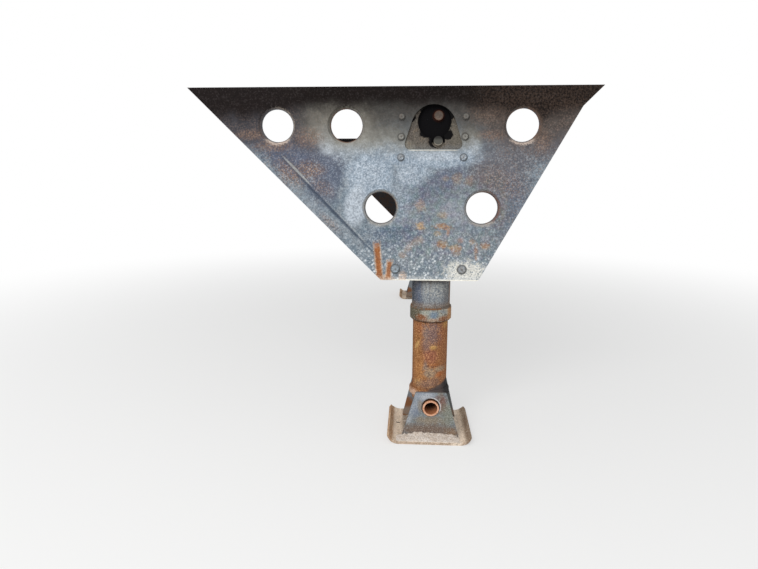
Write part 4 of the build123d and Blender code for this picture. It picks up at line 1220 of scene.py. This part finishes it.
# %% Heap of dirt
SHOE_TOP = -1.098
HEAP_LINE = (  # x, height against the ear
    (-0.101, 0.000),
    (-0.070, 0.003),
    (-0.045, 0.009),
    (-0.028, 0.013),
    (0.000, 0.010),
    (0.050, 0.009),
    (0.085, 0.005),
    (0.110, 0.000),
)
HEAP_REACH = 0.041


def heap_height(x):
    """The heap's height against the ear, from the measured points."""
    for (x0, h0), (x1, h1) in zip(HEAP_LINE, HEAP_LINE[1:]):
        if x0 <= x <= x1:
            return h0 + (h1 - h0) * (x - x0) / (x1 - x0)
    return 0.0


def heap(name, side, reach, columns=120, rows=26):
    """The heap of one foot, as far out from the ear as `reach`."""
    made = Solids()
    low_x, high_x = HEAP_LINE[0][0], HEAP_LINE[-1][0]
    for row in range(rows + 1):
        out = row / rows
        for column in range(columns + 1):
            x = low_x + (high_x - low_x) * column / columns
            y = EAR_FACE + reach * out
            rough = noise.noise(Vector((x * 90, y * 90, side))) * 0.004
            rough += noise.noise(Vector((x * 330, y * 330, side))) * 0.0016
            height = (heap_height(x) + 0.002) * (1 - out) ** 0.6 + rough * min(1, 3 * (1 - out))
            border = row == rows or column in (0, columns)
            made.points.append(Vector((x, side * y, SHOE_TOP + (-0.001 if border else max(height, 0.0005)))))
    width = columns + 1
    for row in range(rows):
        for column in range(columns):
            a = row * width + column
            made.faces.append((a, a + 1, a + width + 1, a + width)[:: -side])
    return made.piece(name, BY_SLOT["caked_dirt"], f"foot_{'curb' if side < 0 else 'road'}")


print("the heap rises", max(height for _, height in HEAP_LINE) * 1000, "mm up the ear")

# %% [markdown]
# Loose grit lies on the heap and in the shoe's corners. Each stone is four rough hexagons joined
# by `skin`, and a seeded dice places them, so that every run gives the same ones. Scattering
# with geometry nodes would be quicker to set up, but its pieces couldn't ride on the foot as one
# plain mesh. More of them lie close to the ear, where a foot's shaking leaves them.

# %% Stones, and both feet's dirt
def stone(made, at, size):
    """One irregular stone."""
    rings = []
    for along, wide in ((-0.8, 0.45), (-0.2, 0.95), (0.4, 0.85), (0.85, 0.4)):
        ring = []
        for k in range(6):
            angle = math.tau * k / 6
            radius = size * wide * DICE.uniform(0.75, 1.15)
            out = Vector((radius * math.cos(angle), radius * math.sin(angle), size * along * 0.7))
            ring.append(Vector(at) + out)
        rings.append(ring)
    made.skin(rings)


ON_HEAP, IN_CORNERS = 150, 90
for name, side in SIDES:
    heap(f"dirt_heap_{name}", side, HEAP_REACH)
    grit = Solids()
    for _ in range(ON_HEAP):
        x = LEG_X + DICE.gauss(0, 0.05)
        out = DICE.random() ** 1.5
        y = side * (EAR_FACE + (HEAP_REACH - 0.001) * out)
        z = SHOE_TOP + heap_height(x) * (1 - out) ** 0.6
        stone(grit, (x, y, z), DICE.uniform(0.0010, 0.0030))
    for _ in range(IN_CORNERS):
        x = LEG_X + DICE.choice((-1, 1)) * DICE.uniform(0.070, 0.096)
        y = side * (LEG_Y + DICE.uniform(-0.115, 0.115))
        stone(grit, (x, y, SHOE_TOP + 0.001), DICE.uniform(0.0008, 0.0024))
    grit.piece(f"grit_{name}", BY_SLOT["caked_dirt"], f"foot_{name}")
print("stones:", 2 * (ON_HEAP + IN_CORNERS))

# %% [markdown]
# ## Grease fittings and drain plugs
# Each gear head is greased through a small nipple on its inboard face and drained through a
# hexagon plug below it. The foot pins have neither, because they are hollow and run dry. Both
# are turned shapes: the nipple's profile narrows to a neck and swells again at the ball, which
# a grease gun grips.

# %% Grease fittings and drain plugs
NIPPLE = (  # radius, distance from the face
    (0.006, -0.001),
    (0.006, 0.005),
    (0.0035, 0.006),
    (0.0035, 0.011),
    (0.0045, 0.013),
    (0.0030, 0.016),
    (0.0015, 0.018),
)
DRAIN_PLUG = ((0.011, -0.001), (0.011, 0.007), (0.0095, 0.009))
FITTING_X, NIPPLE_Z, DRAIN_Z = -0.030, -0.150, -0.195
for name, side in SIDES:
    fitting = Solids()
    fitting.turned(NIPPLE, (FITTING_X, side * HEAD_BACK, NIPPLE_Z), (0, -side, 0), sides=12)
    fitting.turned(DRAIN_PLUG, (FITTING_X, side * HEAD_BACK, DRAIN_Z), (0, -side, 0), sides=6)
    fitting.piece(f"grease_fitting_{name}", BY_SLOT["bright_shaft"], "frame")
print("grease fittings: 2, drain plugs: 2")

# %% [markdown]
# ## The studio
# The floor is plain and pale. It fades to white with its distance from the set, for the camera
# and in reflections only, so that it ends in no line and still keeps the set's shadow. A curved
# backdrop would do that for one view, and this floor does it from any side. It is a mix of two
# shaders, the plain floor and a white glow, and a second mix makes it clear from below, so that
# views from down there show the undersides of the feet.

# %% Floor that fades into the background
HALF = 14.0
FADE_BASE, FADE_NEAR, FADE_FAR = 0.45, 0.9, 4.2
ground = CAD_LOW.z - 0.0005
corners = [(-HALF, -HALF, ground), (HALF, -HALF, ground), (HALF, HALF, ground), (-HALF, HALF, ground)]
floor_mesh = bpy.data.meshes.new("floor")
floor_mesh.from_pydata(corners, [], [(0, 1, 2, 3)])
floor = bpy.data.objects.new("floor", floor_mesh)
bpy.context.scene.collection.objects.link(floor)

ground_paint = Finish("floor", (232, 231, 228))
ground_paint.plug(ground_paint.surface.inputs["Base Color"], ground_paint.paint)
ground_paint.plug(ground_paint.surface.inputs["Roughness"], 0.95)
from_set = ground_paint.vector("LENGTH", ground_paint.point, output="Value")
fade = ground_paint.over(from_set, FADE_NEAR, FADE_FAR) * (1 - FADE_BASE) + FADE_BASE
fade = fade * ground_paint.sightline()
glow = ground_paint.node("ShaderNodeEmission", None, {"Color": (255, 255, 255), "Strength": 1.0})
lit = Wire(ground_paint, ground_paint.surface.outputs["BSDF"])
faded = ground_paint.node("ShaderNodeMixShader", None, {0: fade, 1: lit, 2: glow})
from_below = ground_paint.node("ShaderNodeNewGeometry", output="Backfacing")
clear = ground_paint.node("ShaderNodeBsdfTransparent")
one_way = ground_paint.node("ShaderNodeMixShader", None, {0: from_below, 1: faded, 2: clear})
ground_paint.plug(ground_paint.tree.nodes["Material Output"].inputs["Surface"], one_way)
floor_mesh.materials.append(ground_paint.material)
print("floor at", round(ground, 4), "m, white from", FADE_FAR, "m out")

# %% [markdown]
# Most of the light comes from a pale sky, with one broad lamp in front and to the left, three
# metres over the floor, so that tubes turn from light to dark as they do in the photograph. A
# picture of a real sky could light the set too, but it would tint the steel with its own hues.
# What the camera and the reflections see of the world is white, which `sightline` decides, so
# that the white background adds nothing to the light on the steel.

# %% Sky and lamp
SKY_STRENGTH = 0.55
LAMP_POWER = 125.0
world = bpy.data.worlds.new("world")
bpy.context.scene.world = world
world.use_nodes = True
air = Graph(world.node_tree)
air.tree.nodes.clear()
sky = air.node("ShaderNodeBackground", None, {"Color": (250, 252, 255), "Strength": SKY_STRENGTH})
white = air.node("ShaderNodeBackground", None, {"Color": (255, 255, 255), "Strength": 1.0})
background = air.node("ShaderNodeMixShader", None, {0: air.sightline(), 1: sky, 2: white})
air.plug(air.tree.nodes.new("ShaderNodeOutputWorld").inputs["Surface"], background)

lamp_data = bpy.data.lights.new("lamp", "AREA")
lamp_data.shape = "DISK"
lamp_data.size = 3.2
lamp_data.energy = LAMP_POWER
lamp = bpy.data.objects.new("lamp", lamp_data)
bpy.context.scene.collection.objects.link(lamp)
lamp.location = (-1.4, -4.6, 1.9)
lamp.rotation_mode = "QUATERNION"
lamp.rotation_quaternion = (Vector((0, -1.0, -0.5)) - lamp.location).to_track_quat("-Z", "Y")
bpy.context.scene.view_settings.view_transform = "Standard"
print("sky", SKY_STRENGTH, "lamp", LAMP_POWER, "W")

# %% [markdown]
